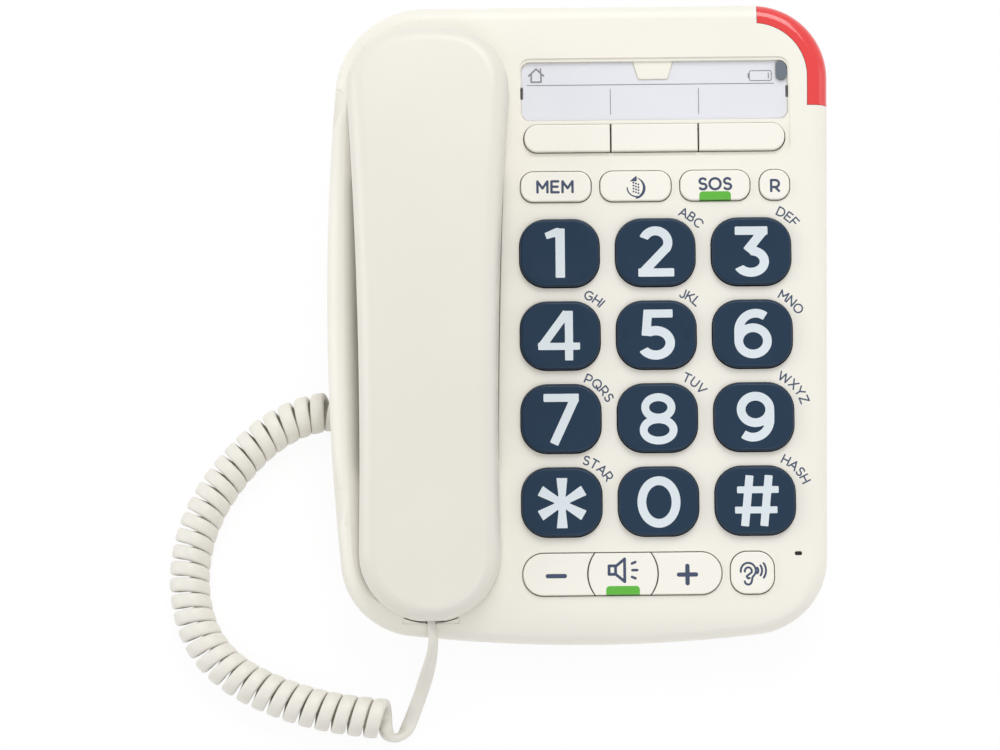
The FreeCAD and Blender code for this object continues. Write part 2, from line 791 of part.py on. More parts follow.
def dial_places():
    """Name and middle of each dial key, row by row."""
    names = ("key_1", "key_2", "key_3", "key_4", "key_5", "key_6", "key_7", "key_8", "key_9",
             "key_star", "key_0", "key_hash")
    for index, name in enumerate(names):
        column, row = index % 3 - 1, index // 3
        yield name, KEY_COLUMN + column * KEY_PITCH_U, KEY_ROW - row * KEY_PITCH_V


def dial_face(u, v, grow):
    return rounded(around(u, KEY_WIDTH), around(v, KEY_HEIGHT), KEY_CORNER, grow)


def function_face(left, right, grow):
    return rounded((left, right), around(FUNCTION_ROW, FUNCTION_HEIGHT), FUNCTION_CORNER, grow)


def memory_face(grow):
    ends = (MEMORY_LEFT + KEY_GAP, MEMORY_RIGHT - KEY_GAP)
    return rounded(ends, around(MEMORY_ROW, MEMORY_HEIGHT), MEMORY_CORNER, grow)


def bar_face(grow):
    return rounded((BAR_LEFT, BAR_RIGHT), around(BAR_ROW, BAR_HEIGHT), BAR_CORNER, grow)


def boost_face(grow):
    return rounded(around(BOOST_CENTRE, BOOST_WIDTH), around(BAR_ROW, BOOST_HEIGHT), BOOST_CORNER, grow)


def speaker_zone(grow):
    """The middle of the lower bar, with both sides bowed outward."""
    high = BAR_HEIGHT / 2 + KEY_FLANGE + 1.0
    bow = drop(high, SPEAKER_BOW)
    left, right = SPEAKER_LEFT - grow, SPEAKER_RIGHT + grow
    corners = [
        Vector(left + bow, BAR_ROW + high, 0),
        (Vector(left, BAR_ROW, 0), Vector(left + bow, BAR_ROW - high, 0)),
        Vector(right - bow, BAR_ROW - high, 0),
        (Vector(right, BAR_ROW, 0), Vector(right - bow, BAR_ROW + high, 0)),
        Vector(left + bow, BAR_ROW + high, 0),
    ]
    return closed(corners)


def span(left, right):
    """A tall flat strip, to cut one key out of a bar."""
    return rounded((left, right), (-200, 200), 0.01)


def key_faces():
    """Name, face and flange of each key other than the dial keys."""
    keys = []
    for name, left, right in FUNCTION_KEYS:
        keys.append((name, function_face(left, right, 0), function_face(left, right, KEY_FLANGE)))
    keys.append(("boost_key", boost_face(0), boost_face(KEY_FLANGE)))
    return keys + memory_keys() + bar_keys()


def memory_keys():
    """Three keys in one bar, with their flanges along the bar's long sides only."""
    keys = []
    ends = (-60.0, *MEMORY_DIVIDERS, 120.0)
    long_sides = rounded((MEMORY_LEFT + MEMORY_CORNER, MEMORY_RIGHT - MEMORY_CORNER),
                         around(MEMORY_ROW, MEMORY_HEIGHT + 2 * MEMORY_FLANGE), MEMORY_FLANGE / 2)
    flange = memory_face(0).fuse(long_sides).removeSplitter()
    for number, (left, right) in enumerate(zip(ends, ends[1:]), 1):
        strip = span(left + MEMORY_SPLIT / 2, right - MEMORY_SPLIT / 2)
        keys.append((f"memory_key_{number}", memory_face(0).common(strip), flange.common(strip)))
    return keys


def bar_keys():
    """Volume down, loudspeaker and volume up, divided by two arcs."""
    gap = KEY_GAP / 2
    middle = (SPEAKER_LEFT + SPEAKER_RIGHT) / 2
    outer, inner = speaker_zone(gap), speaker_zone(-gap)
    keys = [("speaker_key", bar_face(0).common(inner), bar_face(KEY_FLANGE).common(inner))]
    for name, left, right in (("volume_down_key", -60, middle), ("volume_up_key", middle, 120)):
        side = span(left, right).cut(outer)
        keys.append((name, bar_face(0).common(side), bar_face(KEY_FLANGE).common(side)))
    return keys


def key_holes():
    faces = [dial_face(u, v, KEY_GAP) for _, u, v in dial_places()]
    faces += [function_face(left, right, KEY_GAP) for _, left, right in FUNCTION_KEYS]
    faces += [memory_face(KEY_GAP), bar_face(KEY_GAP), boost_face(KEY_GAP)]
    return [prism(face, -WALL - 1, 3) for face in faces]


def key_cap(face, flange, proud, edge):
    """A key cap: its top with rounded edges, on a wider flange that stays under the housing."""
    cap = prism(single(face), key_bottom(), proud)
    cap = cap.makeFillet(edge, edges_at(cap, proud))
    rim = prism(single(flange), key_bottom(), key_bottom() + KEY_FLANGE_THICK)
    return cap.fuse(rim).removeSplitter()


def single(face):
    return face.Faces[0] if face.Faces else face


def lens_block(span_u, row_bottom, proud):
    """The light insert at the front edge of a key."""
    plain = box(span_u, (row_bottom - 2, row_bottom + KEY_LENS_HEIGHT), (proud - KEY_LENS_DEPTH, proud + 1))
    rear = [e for e in uprights(plain) if e.BoundBox.YMin > row_bottom]
    return plain.makeFillet(1.2, rear)


def keys():
    """All keys and the two light inserts, by name."""
    made = {}
    for name, face, flange in key_faces():
        made[name] = key_cap(face, flange, SMALL_KEY_PROUD, SMALL_KEY_EDGE)
    for name, u, v in dial_places():
        cap = key_cap(dial_face(u, v, 0), dial_face(u, v, KEY_FLANGE), KEY_PROUD, KEY_EDGE)
        made[name] = dished(cap, u, v)
    made["key_5"] = ridged(made["key_5"])
    for name, lens, row, height in (("sos_key", SOS_LENS, FUNCTION_ROW, FUNCTION_HEIGHT),
                                    ("speaker_key", SPEAKER_LENS, BAR_ROW, BAR_HEIGHT)):
        block = lens_block(lens, row - height / 2, SMALL_KEY_PROUD)
        whole = made[name]
        made[name + "_lens"] = whole.common(block)
        made[name] = whole.cut(block)
    return made


def dished(cap, u, v):
    """Hollows a dial key: a shallow dish on top and a pocket with a post below."""
    centre = Vector(u, v, KEY_PROUD + KEY_DISH - KEY_DISH_DEPTH)
    pocket = prism(dial_face(u, v, -KEY_SKIN), key_bottom() - 1, KEY_PROUD - KEY_DISH_DEPTH - KEY_SKIN)
    pocket = pocket.cut(post(u, v, key_bottom(), KEY_PROUD, DOME_RADIUS))
    return cap.cut([Part.makeSphere(KEY_DISH, centre), pocket])


def ridged(cap):
    """Adds the two ridges that mark the middle key to the fingertip."""
    v, w = around(KEY_ROW - KEY_PITCH_V, RIDGE_LENGTH), (KEY_PROUD - 1.0, KEY_PROUD + RIDGE_PROUD)
    ridges = []
    for side in (-1, 1):
        u = around(KEY_COLUMN + side * RIDGE_OFFSET, RIDGE_WIDTH)
        ridges.append(pad(u, v, w, RIDGE_WIDTH / 2 - 0.05))
    return cap.fuse(ridges)


# Window, lamp and works under the face

def label_card():
    low = window_floor()
    card = prism(window_face(CLEAR), low, low + CARD_THICK)
    return card.cut([prism(notch_face(CLEAR), -9, 9), prism(battery_lamp_face(CLEAR), -9, 9)] + clip_slots())


def label_cover():
    """The clear cover, with a clip at each end that reaches down through its slot."""
    low = window_floor() + CARD_THICK + 0.1
    cover = prism(window_face(0.2), low, low + COVER_THICK)
    cover = cover.cut([prism(notch_face(CLEAR), -9, 9), prism(battery_lamp_face(CLEAR), -9, 9)])
    left, right = WINDOW[0] + 0.2, WINDOW[1] - 0.2
    reach = (window_floor() - TRAY_SKIN, low + COVER_THICK / 2)
    across_v = (CLIP_V[0] + CLEAR, CLIP_V[1] - CLEAR)
    clips = [box((left, left + CLIP_WIDTH - 0.4), across_v, reach),
             box((right - CLIP_WIDTH + 0.4, right), across_v, reach)]
    return cover.fuse(clips).removeSplitter()


def battery_lamp_lens():
    return prism(battery_lamp_face(0).common(window_face(CLEAR)), window_floor(), -RECESS_DEPTH)


def ring_lamp_lens():
    """A hollow lens that closes the housing's rear right corner."""
    return slab(0, 60).common(lamp_band(0)).cut(slab(LAMP_SKIN, 60))


def ring_lamp_leds():
    """The lamp's own board with three LEDs, just under the lens."""
    low = -LAMP_DEPTH - LED_HEIGHT
    high = low + LED_BOARD
    zone = box((LAMP_LEFT, 140), (LAMP_FRONT, 160), (-40, 40))
    strip = ring(WALL + CLEAR, LAMP_BAND + 2 * LED_RADIUS, low, high).common(zone)
    centre = Vector(BODY_RIGHT_REAR - CORNER_RADIUS, BODY_REAR - CORNER_RADIUS, 0)
    reach = CORNER_RADIUS - LAMP_BAND / 2 - LED_RADIUS
    leds = []
    for angle in LED_ANGLES:
        turn = math.radians(angle)
        leds.append(post(centre.x + reach * math.cos(turn), centre.y + reach * math.sin(turn),
                         low, high + LED_HEIGHT - CLEAR, LED_RADIUS))
    return joined([strip] + leds)


def board_face(grow):
    left, right, front, rear = BOARD
    return rounded((left, right), (front, rear), BOARD_CORNER, grow)


def main_board():
    return prism(board_face(0), -BOARD_TOP - BOARD_THICK, -BOARD_TOP)


def keypad_mat():
    """A rubber sheet on the board with one dome under each key."""
    low = -BOARD_TOP
    middles = [(u, v) for _, u, v in dial_places()]
    for _, cap, _ in key_faces():
        centre = single(cap).BoundBox.Center
        middles.append((centre.x, centre.y))
    domes = []
    for u, v in middles:
        high = key_bottom() - CLEAR - low
        domes.append(Part.makeCone(DOME_RADIUS, DOME_TOP_RADIUS, high, Vector(u, v, low)))
    sheet = prism(board_face(-MAT_MARGIN), low, low + MAT_THICK)
    return joined([sheet] + domes).cut(board_posts(POST_RADIUS + CLEAR, -40, 10))


def base_microphone():
    return mic_boss(MIC_RADIUS, -WALL - MIC_HEIGHT, -WALL)


def hook_plunger():
    """The plunger that the handset holds down, with the shoulder that stops it."""
    low, top = hook_bottom() + CLEAR, well_floor()
    stem = pad(around(HANDSET_U, HOOK_SLOT[0]), around(HOOK_V, HOOK_SLOT[1]), (low, top), HOOK_CORNER)
    stem = stem.makeFillet(0.8, edges_at(stem, top))
    return stem.fuse(hook_block(0, low, low + HOOK_SHOULDER_HEIGHT - CLEAR)).removeSplitter()


def hook_switch():
    """The switch under the plunger, on a plate that closes the sleeve's end."""
    top = hook_bottom()
    plate = hook_block(WALL, top - SWITCH_PLATE, top)
    case = box(around(HANDSET_U, SWITCH[0]), around(HOOK_V, SWITCH[1]), (top - SWITCH_PLATE - SWITCH[2], top))
    return plate.fuse(case).removeSplitter()


def hook_tab():
    """The reversible tab that holds the handset when the telephone hangs on a wall."""
    wide, thick, deep = TAB_SIZE
    top = well_floor() + BRIDGE_HEIGHT
    plate = pad(around(HANDSET_U, wide), around(TAB_V, thick), (top - deep, top), 0.6)
    dents = []
    for side in (-1, 1):
        across_v = around(TAB_V + side * thick / 2, thick / 2)
        dents.append(box(around(HANDSET_U, wide / 2), across_v, (top - TAB_DENT, top)))
    return plate.cut(dents)


# Handset

def screw_seat():
    """Where the handset's screw heads bear."""
    return HANDSET_PARTING - SCREW_FLANGE


def handset_shells():
    """The two shells of the handset, parted along its sides."""
    whole = handset_form(0)
    shell = whole.cut(handset_form(HANDSET_SKIN))
    above = box((-200, 100), (-200, 200), (HANDSET_PARTING, 100))
    upper, lower = shell.common(above), shell.cut(above)
    seat, parting = screw_seat(), HANDSET_PARTING
    for v in HANDSET_SCREWS:
        upper = upper.fuse(post(HANDSET_U, v, parting, back_height(v) - HANDSET_SKIN / 2, UPPER_BOSS_RADIUS))
        upper = upper.cut(post(HANDSET_U, v, 0, seat + SCREW_LENGTH + 1, SCREW_RADIUS + BORE_FIT))
        lower = lower.fuse(post(HANDSET_U, v, 0, parting, BOSS_RADIUS).common(whole))
        lower = lower.cut([post(HANDSET_U, v, 0, parting + 1, SCREW_RADIUS + CLEAR),
                           post(HANDSET_U, v, -9, seat, SCREW_HEAD + CLEAR)])
    upper = upper.cut([jack_window()])
    lower = lower.cut(ear_grille() + [mouth_hole(), jack_window()])
    return upper.removeSplitter(), lower.removeSplitter()


def handset_screws():
    seat = screw_seat()
    return Part.makeCompound([screw(HANDSET_U, v, seat, SCREW_FLANGE) for v in HANDSET_SCREWS])


def screw(x, y, seat, head):
    """A screw driven upward whose head bears at its seat."""
    shank = post(x, y, seat - head, seat + SCREW_LENGTH, SCREW_RADIUS)
    return shank.fuse(post(x, y, seat - head, seat, SCREW_HEAD)).removeSplitter()


def ear_grille():
    """The earpiece's holes and the dish that the ear rests in."""
    low, high = -CAP_DEPTH - 1, -CAP_DEPTH + HANDSET_SKIN + 1
    dish = Part.makeSphere(EAR_DISH, Vector(HANDSET_U, EARPIECE_V, EAR_DISH_DEPTH - CAP_DEPTH - EAR_DISH))
    holes = [post(HANDSET_U, EARPIECE_V, low, high, EAR_HOLE)]
    for number in range(EAR_HOLES):
        turn = 2 * math.pi * number / EAR_HOLES
        u, v = HANDSET_U + EAR_HOLE_RING * math.cos(turn), EARPIECE_V + EAR_HOLE_RING * math.sin(turn)
        holes.append(post(u, v, low, high, EAR_HOLE))
    return [dish] + holes


def mouth_hole():
    across_u, across_v = around(HANDSET_U, MOUTH_SLOT[0]), around(MOUTH_MIC_V, MOUTH_SLOT[1])
    return pad(across_u, across_v, (-CAP_DEPTH - 1, -CAP_DEPTH + HANDSET_SKIN + 1), MOUTH_SLOT[1] / 2 - 0.05)


def driver(x, y, low, radius, height, rim):
    """A small loudspeaker lying on its face: a rim, a cone basket and a magnet."""
    basket = (height - rim) / 2
    cone = Part.makeCone(radius - rim / 2, radius / 2, basket, Vector(x, y, low + rim))
    return joined([post(x, y, low, low + rim, radius), cone, post(x, y, low + rim, low + height, radius / 2)])


def earpiece_speaker():
    low = -CAP_DEPTH + HANDSET_SKIN + CLEAR / 2
    return driver(HANDSET_U, EARPIECE_V, low, EARPIECE_RADIUS, EARPIECE_DEPTH, EARPIECE_RIM)


def handset_microphone():
    low = -CAP_DEPTH + HANDSET_SKIN
    return post(HANDSET_U, MOUTH_MIC_V, low, low + MOUTH_MIC_DEPTH, MOUTH_MIC_RADIUS)


def handset_weight():
    """The steel bar in the grip that gives the handset its heft."""
    low = GRIP_RISE + HANDSET_SKIN + CLEAR
    wide, long, thick = WEIGHT
    middle = (HANDSET_SCREWS[0] + HANDSET_SCREWS[1]) / 2
    return pad(around(HANDSET_U, wide), around(middle, long), (low, low + thick), 2.0)


# Modular jacks and plugs, drawn with their mouth at the origin and the plug going in along +X

def socket(depth, wide, high):
    """The space that a plug and its latch go into."""
    hole = box((-5, depth), around(0, wide), around(0, high))
    groove = box((-5, depth), around(0, LATCH[1] + 2 * CLEAR), (0, high / 2 + LATCH[2] + CLEAR))
    return hole.fuse(groove)


def jack_body(size, cavity):
    depth, wide, high = size
    return box((0, depth), around(0, wide), around(0, high)).cut(socket(*cavity))


def plug_body(recess):
    """A small clear plug whose rear end lies at the recess, with its latch above."""
    long, wide, high = PLUG
    body = box((recess, recess + long), around(0, wide), around(0, high))
    latch = box((recess, recess + LATCH[0]), around(0, LATCH[1]), (0, high / 2 + LATCH[2]))
    return body.fuse(latch).removeSplitter()


def at_base_jack(shape):
    moved = shape.copy()
    moved.translate(Vector(CHANNEL_END, CHANNEL_Y, JACK_Z))
    return moved


def at_mouth(shape):
    """Puts a jack or plug into the handset's mouth end, drawn from the end's outer face."""
    turn = Matrix()
    turn.rotateZ(math.pi / 2)
    turn.move(Vector(HANDSET_U, -MOUTH_END, MOUTH_JACK_W))
    return shape.transformed(turn, True)


def jack_window():
    """The opening for the plug in the handset's mouth end."""
    return at_mouth(socket(HANDSET_SKIN + MOUTH_JACK_BACK + 1, *JACK_CAVITY[1:]))


def handset_cord_jack():
    inward = HANDSET_SKIN + MOUTH_JACK_BACK
    body = jack_body(JACK, (MOUTH_PLUG_RECESS + PLUG[0] + CLEAR - inward, *JACK_CAVITY[1:]))
    body.translate(Vector(inward, 0, 0))
    return at_mouth(body)


# Lower housing

def lower_block(inset, low):
    """The lower housing's form: the parting outline carried straight down to a level."""
    face = outline_face(REVEAL + inset)
    face.translate(Vector(0, 0, -PARTING))
    column = onto_face(face).extrude(Vector(0, 0, -120))
    return column.common(box((-150, 150), (-200, 200), (low, 120)))


def rear_wall():
    return slope(0, BODY_REAR - REVEAL, -PARTING).y


def channel_room():
    """The cord's channel from the left side, open below, with rounded upper corners."""
    run = box((-BODY_LEFT - 5, CHANNEL_END), around(CHANNEL_Y, CHANNEL_WIDTH), (-CHANNEL_TOP, CHANNEL_TOP))
    along = [e for e in run.Edges if e.BoundBox.ZMin > 0 and e.BoundBox.XLength > 1]
    return run.makeFillet(CHANNEL_CORNER, along)


def jack_nest():
    """The space at the channel's end that the handset's jack sits in."""
    long, wide, high = JACK
    return box((CHANNEL_END - 1, CHANNEL_END + long + JACK_FIT), around(CHANNEL_Y, wide + 2 * JACK_FIT),
               (-1, JACK_Z + high / 2 + JACK_FIT))


def channel_walls():
    """The skin round the channel and the jack, inside the housing."""
    long, wide, high = JACK
    skin, fit = CHANNEL_SKIN, CHANNEL_SKIN + JACK_FIT
    run = box((-BODY_LEFT, CHANNEL_END + skin), around(CHANNEL_Y, CHANNEL_WIDTH + 2 * skin),
              (FOOT_HEIGHT, CHANNEL_TOP + skin))
    nest = box((CHANNEL_END, CHANNEL_END + long + fit), around(CHANNEL_Y, wide + 2 * fit),
               (FOOT_HEIGHT, JACK_Z + high / 2 + fit))
    return run.fuse(nest)


def tongue():
    """The rim that stands inside the upper housing's wall, notched round the bosses."""
    fit = WALL + TONGUE_FIT
    band = ring(fit, fit + TONGUE_WIDTH, -PARTING - TONGUE_WIDTH / 2, -PARTING + TONGUE_HEIGHT)
    gaps = [post(x, y, 0, 90, UPPER_BOSS_RADIUS + CLEAR) for x, y, _ in SCREWS]
    return onto_face(band).cut(gaps)


def door_level():
    return FOOT_HEIGHT + DOOR_RECESS


def cell_level():
    """The height of the cells' middle, just above the closed door."""
    return door_level() + DOOR_THICK + CLEAR + CELL_RADIUS


def battery_block(grow, low, high):
    """A block as wide as the cells with their contacts, larger by a growth on every side."""
    long = CELL_LENGTH + 2 * (CONTACT_ROOM + CLEAR + grow)
    wide = CELL_COUNT * 2 * CELL_RADIUS + (CELL_COUNT + 1) * CELL_GAP + 2 * grow
    return box(around(BATTERY_X, long), around(BATTERY_Y, wide), (low, high))


def battery_top():
    return cell_level() + CELL_RADIUS + CLEAR


def door_block(grow, low, high):
    """The battery door's plan, larger by a growth, and longer by its travel where it grows."""
    block = battery_block(DOOR_LEDGE + grow, low, high)
    if grow:
        block = block.fuse(block.translated(Vector(0, DOOR_TRAVEL, 0))).removeSplitter()
    return block


def speaker_grille():
    slots = []
    for number in range(GRILLE_SLOTS):
        offset = (number - (GRILLE_SLOTS - 1) / 2) * GRILLE_PITCH
        half = math.sqrt(GRILLE_RADIUS**2 - offset**2)
        slots.append(pad(around(SPEAKER_X, 2 * half), around(SPEAKER_Y + offset, GRILLE_SLOT),
                         (0, FOOT_HEIGHT + WALL + 1), GRILLE_SLOT / 2 - 0.05))
    return slots


def keyholes():
    """The wall fixings in the underside: a round hole for a screw's head and a narrow run behind it."""
    cuts = []
    depth = (0, FOOT_HEIGHT + WALL + 1)
    for x, y in KEYHOLES:
        run = (y, y + KEYHOLE_RUN + KEYHOLE_NECK)
        cuts.append(post(x, y, *depth, KEYHOLE_HEAD))
        cuts.append(pad(around(x, 2 * KEYHOLE_NECK), run, depth, KEYHOLE_NECK - 0.05))
    return cuts


def ringer_rails():
    """Two hooked rails that carry the ringer switch's plate behind the wall."""
    wide, high, thick = RINGER_PLATE
    wall = rear_wall() - WALL
    back = wall - thick - 2 * CLEAR
    x = around(RINGER_X, wide + 2 * (RINGER_TRAVEL + RAIL_THICK))
    inner = high / 2 + CLEAR
    rails = []
    for side in (-1, 1):
        outer, lip = RINGER_Z + side * (inner + RAIL_THICK), RINGER_Z + side * (inner - RAIL_THICK)
        rail = box(x, (back - RAIL_THICK, wall + WALL / 2), ordered(RINGER_Z + side * inner, outer))
        rails.append(rail.fuse(box(x, (back - RAIL_THICK, back), ordered(lip, outer))))
    return rails


def ordered(first, second):
    return (min(first, second), max(first, second))


def screw_bores():
    """In the underside, the counterbores of the housing screws and the holes for their shanks."""
    bores = []
    for x, y, z in SCREWS:
        bores.append(post(x, y, -1, z - SCREW_GRIP, SCREW_HEAD + CLEAR))
        bores.append(post(x, y, -1, z + 1, SCREW_RADIUS + CLEAR))
    return bores


def speaker_ring():
    """The wall round the loudspeaker."""
    high = FOOT_HEIGHT + WALL + SPEAKER_RIM
    ring = post(SPEAKER_X, SPEAKER_Y, FOOT_HEIGHT, high, SPEAKER_RADIUS + CLEAR + SPEAKER_WALL)
    return ring.cut(post(SPEAKER_X, SPEAKER_Y, 0, high, SPEAKER_RADIUS + CLEAR))


def line_shelf():
    """The shelf that the line jack rests on."""
    wide, deep, high = LINE_JACK
    y = (rear_wall() - deep, rear_wall() - WALL / 2)
    return box(around(LINE_JACK_X, wide + 2 * WALL), y, (FOOT_HEIGHT, LINE_JACK_Z - high / 2))


def rear_cuts():
    """The openings in the rear wall for the line jack and the ringer switch's knob."""
    wide, deep, high = LINE_JACK
    back = rear_wall()
    jack = box(around(LINE_JACK_X, wide + 2 * BORE_FIT), (back - deep, back + 5),
               (LINE_JACK_Z - high / 2, LINE_JACK_Z + high / 2 + BORE_FIT))
    slot_x = around(RINGER_X, RINGER_KNOB[0] + 2 * (RINGER_TRAVEL + CLEAR))
    slot = box(slot_x, (back - WALL - 1, back + 5), around(RINGER_Z, RINGER_KNOB[1] + 2 * CLEAR))
    return [jack, slot]


def lower_housing():
    floor = FOOT_HEIGHT + WALL
    shell = lower_block(0, FOOT_HEIGHT)
    shell = shell.makeFillet(WALL - 0.2, edges_at(shell, FOOT_HEIGHT))
    seat = door_level() + DOOR_THICK + CLEAR
    adds = [battery_block(DOOR_SEAT, FOOT_HEIGHT, battery_top() + DOOR_SEAT)]
    adds += [door_block(DOOR_SEAT, FOOT_HEIGHT, seat + DOOR_SEAT)]
    adds += [speaker_ring(), line_shelf(), channel_walls()] + ringer_rails()
    adds += [post(x, y, FOOT_HEIGHT, z, BOSS_RADIUS) for x, y, z in SCREWS]
    inside = lower_block(WALL / 2, FOOT_HEIGHT)
    adds = [piece.common(inside) for piece in adds] + [tongue()]
    body = shell.cut(lower_block(WALL, floor)).fuse(adds)
    cuts = [channel_room(), jack_nest(), battery_block(0, 0, battery_top()), door_block(DOOR_FIT, 0, seat)]
    cuts += [post(x, y, -1, FOOT_HEIGHT + FOOT_SEAT, FOOT_RADIUS + BORE_FIT) for x, y in FEET]
    return body.cut(cuts + speaker_grille() + keyholes() + screw_bores() + rear_cuts()).removeSplitter()


def rubber_feet():
    feet = [post(x, y, 0, FOOT_HEIGHT + FOOT_SEAT, FOOT_RADIUS) for x, y in FEET]
    return Part.makeCompound([foot.makeFillet(0.8, edges_at(foot, 0)) for foot in feet])


def housing_screws():
    return Part.makeCompound([screw(x, y, z - SCREW_GRIP, SCREW_HEAD_HEIGHT) for x, y, z in SCREWS])


def battery_door():
    """The sliding door, with finger ridges across it."""
    low = door_level()
    plate = door_block(0, low, low + DOOR_THICK)
    plate = plate.makeFillet(1.5, uprights(plate))
    grooves = []
    for number in range(DOOR_RIDGES):
        line = plate.BoundBox.YMin + 2 * DOOR_RIDGE_PITCH + DOOR_RIDGE_PITCH * number
        grooves.append(box(around(BATTERY_X, 18), (line, line + DOOR_RIDGE_PITCH / 2), (low - 1, low + 0.5)))
    return plate.cut(grooves)


def cell_rows():
    """The middle line of each cell."""
    for number in range(CELL_COUNT):
        yield number, BATTERY_Y + (number - (CELL_COUNT - 1) / 2) * (2 * CELL_RADIUS + CELL_GAP)


def battery_cells():
    """Three cells side by side, each with its positive nub, alternately turned."""
    cells = []
    for number, y in cell_rows():
        side = -1 if number % 2 else 1
        start = Vector(BATTERY_X - side * CELL_LENGTH / 2, y, cell_level())
        can = Part.makeCylinder(CELL_RADIUS, CELL_LENGTH - 1.0, start, Vector(side, 0, 0))
        nub = Part.makeCylinder(CELL_NUB, CELL_LENGTH, start, Vector(side, 0, 0))
        cells.append(can.fuse(nub).removeSplitter())
    return Part.makeCompound(cells)


def battery_contacts():
    """Sprung plates at both ends of the cells."""
    plates = []
    for side in (-1, 1):
        wall = BATTERY_X + side * (CELL_LENGTH / 2 + CONTACT_ROOM + CLEAR)
        for _, y in cell_rows():
            x = ordered(wall, wall - side * CONTACT_THICK)
            plate = box(x, around(y, CONTACT_WIDTH), around(cell_level(), CONTACT_WIDTH))
            spring = Part.makeCone(3.0, 1.6, CONTACT_ROOM, Vector(wall, y, cell_level()), Vector(-side, 0, 0))
            plates.append(plate.fuse(spring).removeSplitter())
    return Part.makeCompound(plates)


def loudspeaker():
    return driver(SPEAKER_X, SPEAKER_Y, FOOT_HEIGHT + WALL, SPEAKER_RADIUS, SPEAKER_DEPTH, SPEAKER_RIM)


def line_jack():
    """The empty inlet for the line cord in the rear wall."""
    wide, deep, high = LINE_JACK
    body = jack_body((deep, wide, high), LINE_CAVITY)
    turn = Matrix()
    turn.rotateZ(-math.pi / 2)
    turn.move(Vector(LINE_JACK_X, rear_wall(), LINE_JACK_Z))
    return body.transformed(turn, True)


def ringer_switch():
    """The ringer's slide switch: a plate behind the wall and a ribbed knob through it."""
    wall = rear_wall() - WALL
    wide, high, thick = RINGER_PLATE
    plate = box(around(RINGER_X, wide), (wall - CLEAR - thick, wall - CLEAR), around(RINGER_Z, high))
    knob = box(around(RINGER_X, RINGER_KNOB[0]), (wall - CLEAR - 0.1, rear_wall() + RINGER_PROUD),
               around(RINGER_Z, RINGER_KNOB[1]))
    grooves = []
    for number in (-1, 0, 1):
        x = around(RINGER_X + number * RINGER_KNOB[0] / 4, RINGER_KNOB[0] / 8)
        grooves.append(box(x, (rear_wall() + RINGER_PROUD - 0.6, rear_wall() + 9), around(RINGER_Z, 9)))
    return plate.fuse(knob).removeSplitter().cut(grooves)


# Curly cord

def axis_curve():
    """The line that the coil lies along, as a smooth curve through the turns of its control points."""
    poles = [Vector(x, y, COIL_RADIUS + CORD_WIDTH / 2) for x, y in COIL_AXIS]
    curve = Part.BSplineCurve()
    knots = len(poles) - 1
    curve.buildFromPolesMultsKnots(poles, [3] + [1] * (knots - 2) + [3], list(range(knots)), False, 2)
    return curve


def helix(turn, curve, length):
    """The middle of the wire after a number of turns, and its direction."""
    step = 1e-4
    here, there = helix_point(turn, curve, length), helix_point(turn + step, curve, length)
    return here, (there - here).normalize()


def helix_point(turn, curve, length):
    """Left-handed: the wire leaves the axis over the first turn and winds on at one pitch."""
    pitch = (length - RAMP_LENGTH) / (COIL_TURNS - 1)
    ramp = min(max(turn, 0.0), 1.0)
    ease = ramp * ramp * (3 - 2 * ramp)
    along = pitch * (turn - ramp) + RAMP_LENGTH * ramp + (pitch - RAMP_LENGTH) * ramp * ramp * (ramp - 1)
    at = curve.parameterAtDistance(min(max(along, 0.0), length), curve.FirstParameter)
    point, (direction,) = curve.value(at), curve.tangent(at)
    side = Vector(0, 0, 1).cross(direction).normalize()
    angle = 2 * math.pi * turn
    around_axis = side * math.cos(angle) - Vector(0, 0, 1) * math.sin(angle)
    return point + around_axis * (COIL_RADIUS * ease)


def biarc(start, start_way, end, end_way):
    """Two arcs that join two points along their directions."""
    gap = end - start
    both = start_way + end_way
    spread = 2 * (1 - start_way.dot(end_way))
    reach = (-gap.dot(both) + math.sqrt(gap.dot(both) ** 2 + spread * gap.dot(gap))) / spread
    middle = (start + end + (start_way - end_way) * reach) * 0.5
    return [arc_from(start, start_way, middle), arc_from(end, -end_way, middle, True)]


def arc_from(start, way, end, backward=False):
    """The arc that leaves a point along a direction and reaches another."""
    chord = end - start
    along = Vector(chord).normalize()
    rise = way - along * way.dot(along)
    lean = math.atan2(rise.Length, way.dot(along))
    middle = (start + end) * 0.5 + Vector(rise).normalize() * (chord.Length / 2 * math.tan(lean / 2))
    points = (end, middle, start) if backward else (start, middle, end)
    return Part.Arc(*points).toShape()


def swept(edges):
    """A cord along a path, with flat sides, closed at both ends."""
    start, way = edges[0].valueAt(edges[0].FirstParameter), edges[0].tangentAt(edges[0].FirstParameter)
    side = Vector(0, 0, 1).cross(way).normalize()
    up = way.cross(side).normalize()
    ring = []
    for number in range(CORD_SIDES + 1):
        turn = 2 * math.pi * (number + 0.5) / CORD_SIDES
        ring.append(start + (side * math.cos(turn) + up * math.sin(turn)) * (CORD_WIDTH / 2))
    pipe = Part.BRepOffsetAPI.MakePipeShell(Part.Wire(edges))
    pipe.add(Part.makePolygon(ring))
    pipe.build()
    pipe.makeSolid()
    return pipe.shape()


def coil_path():
    """Straight for one width at both ends, and arcs of a quarter turn between."""
    curve = axis_curve()
    length = curve.length()
    halves = round(2 * COIL_TURNS)
    stations = [helix(COIL_TURNS * number / halves, curve, length) for number in range(halves + 1)]
    first, last = stations[0], stations[-1]
    edges = [Part.LineSegment(first[0] - first[1] * CORD_WIDTH, first[0]).toShape()]
    for (start, start_way), (end, end_way) in zip(stations, stations[1:]):
        edges += biarc(start, start_way, end, end_way)
    edges.append(Part.LineSegment(last[0], last[0] + last[1] * CORD_WIDTH).toShape())
    return edges


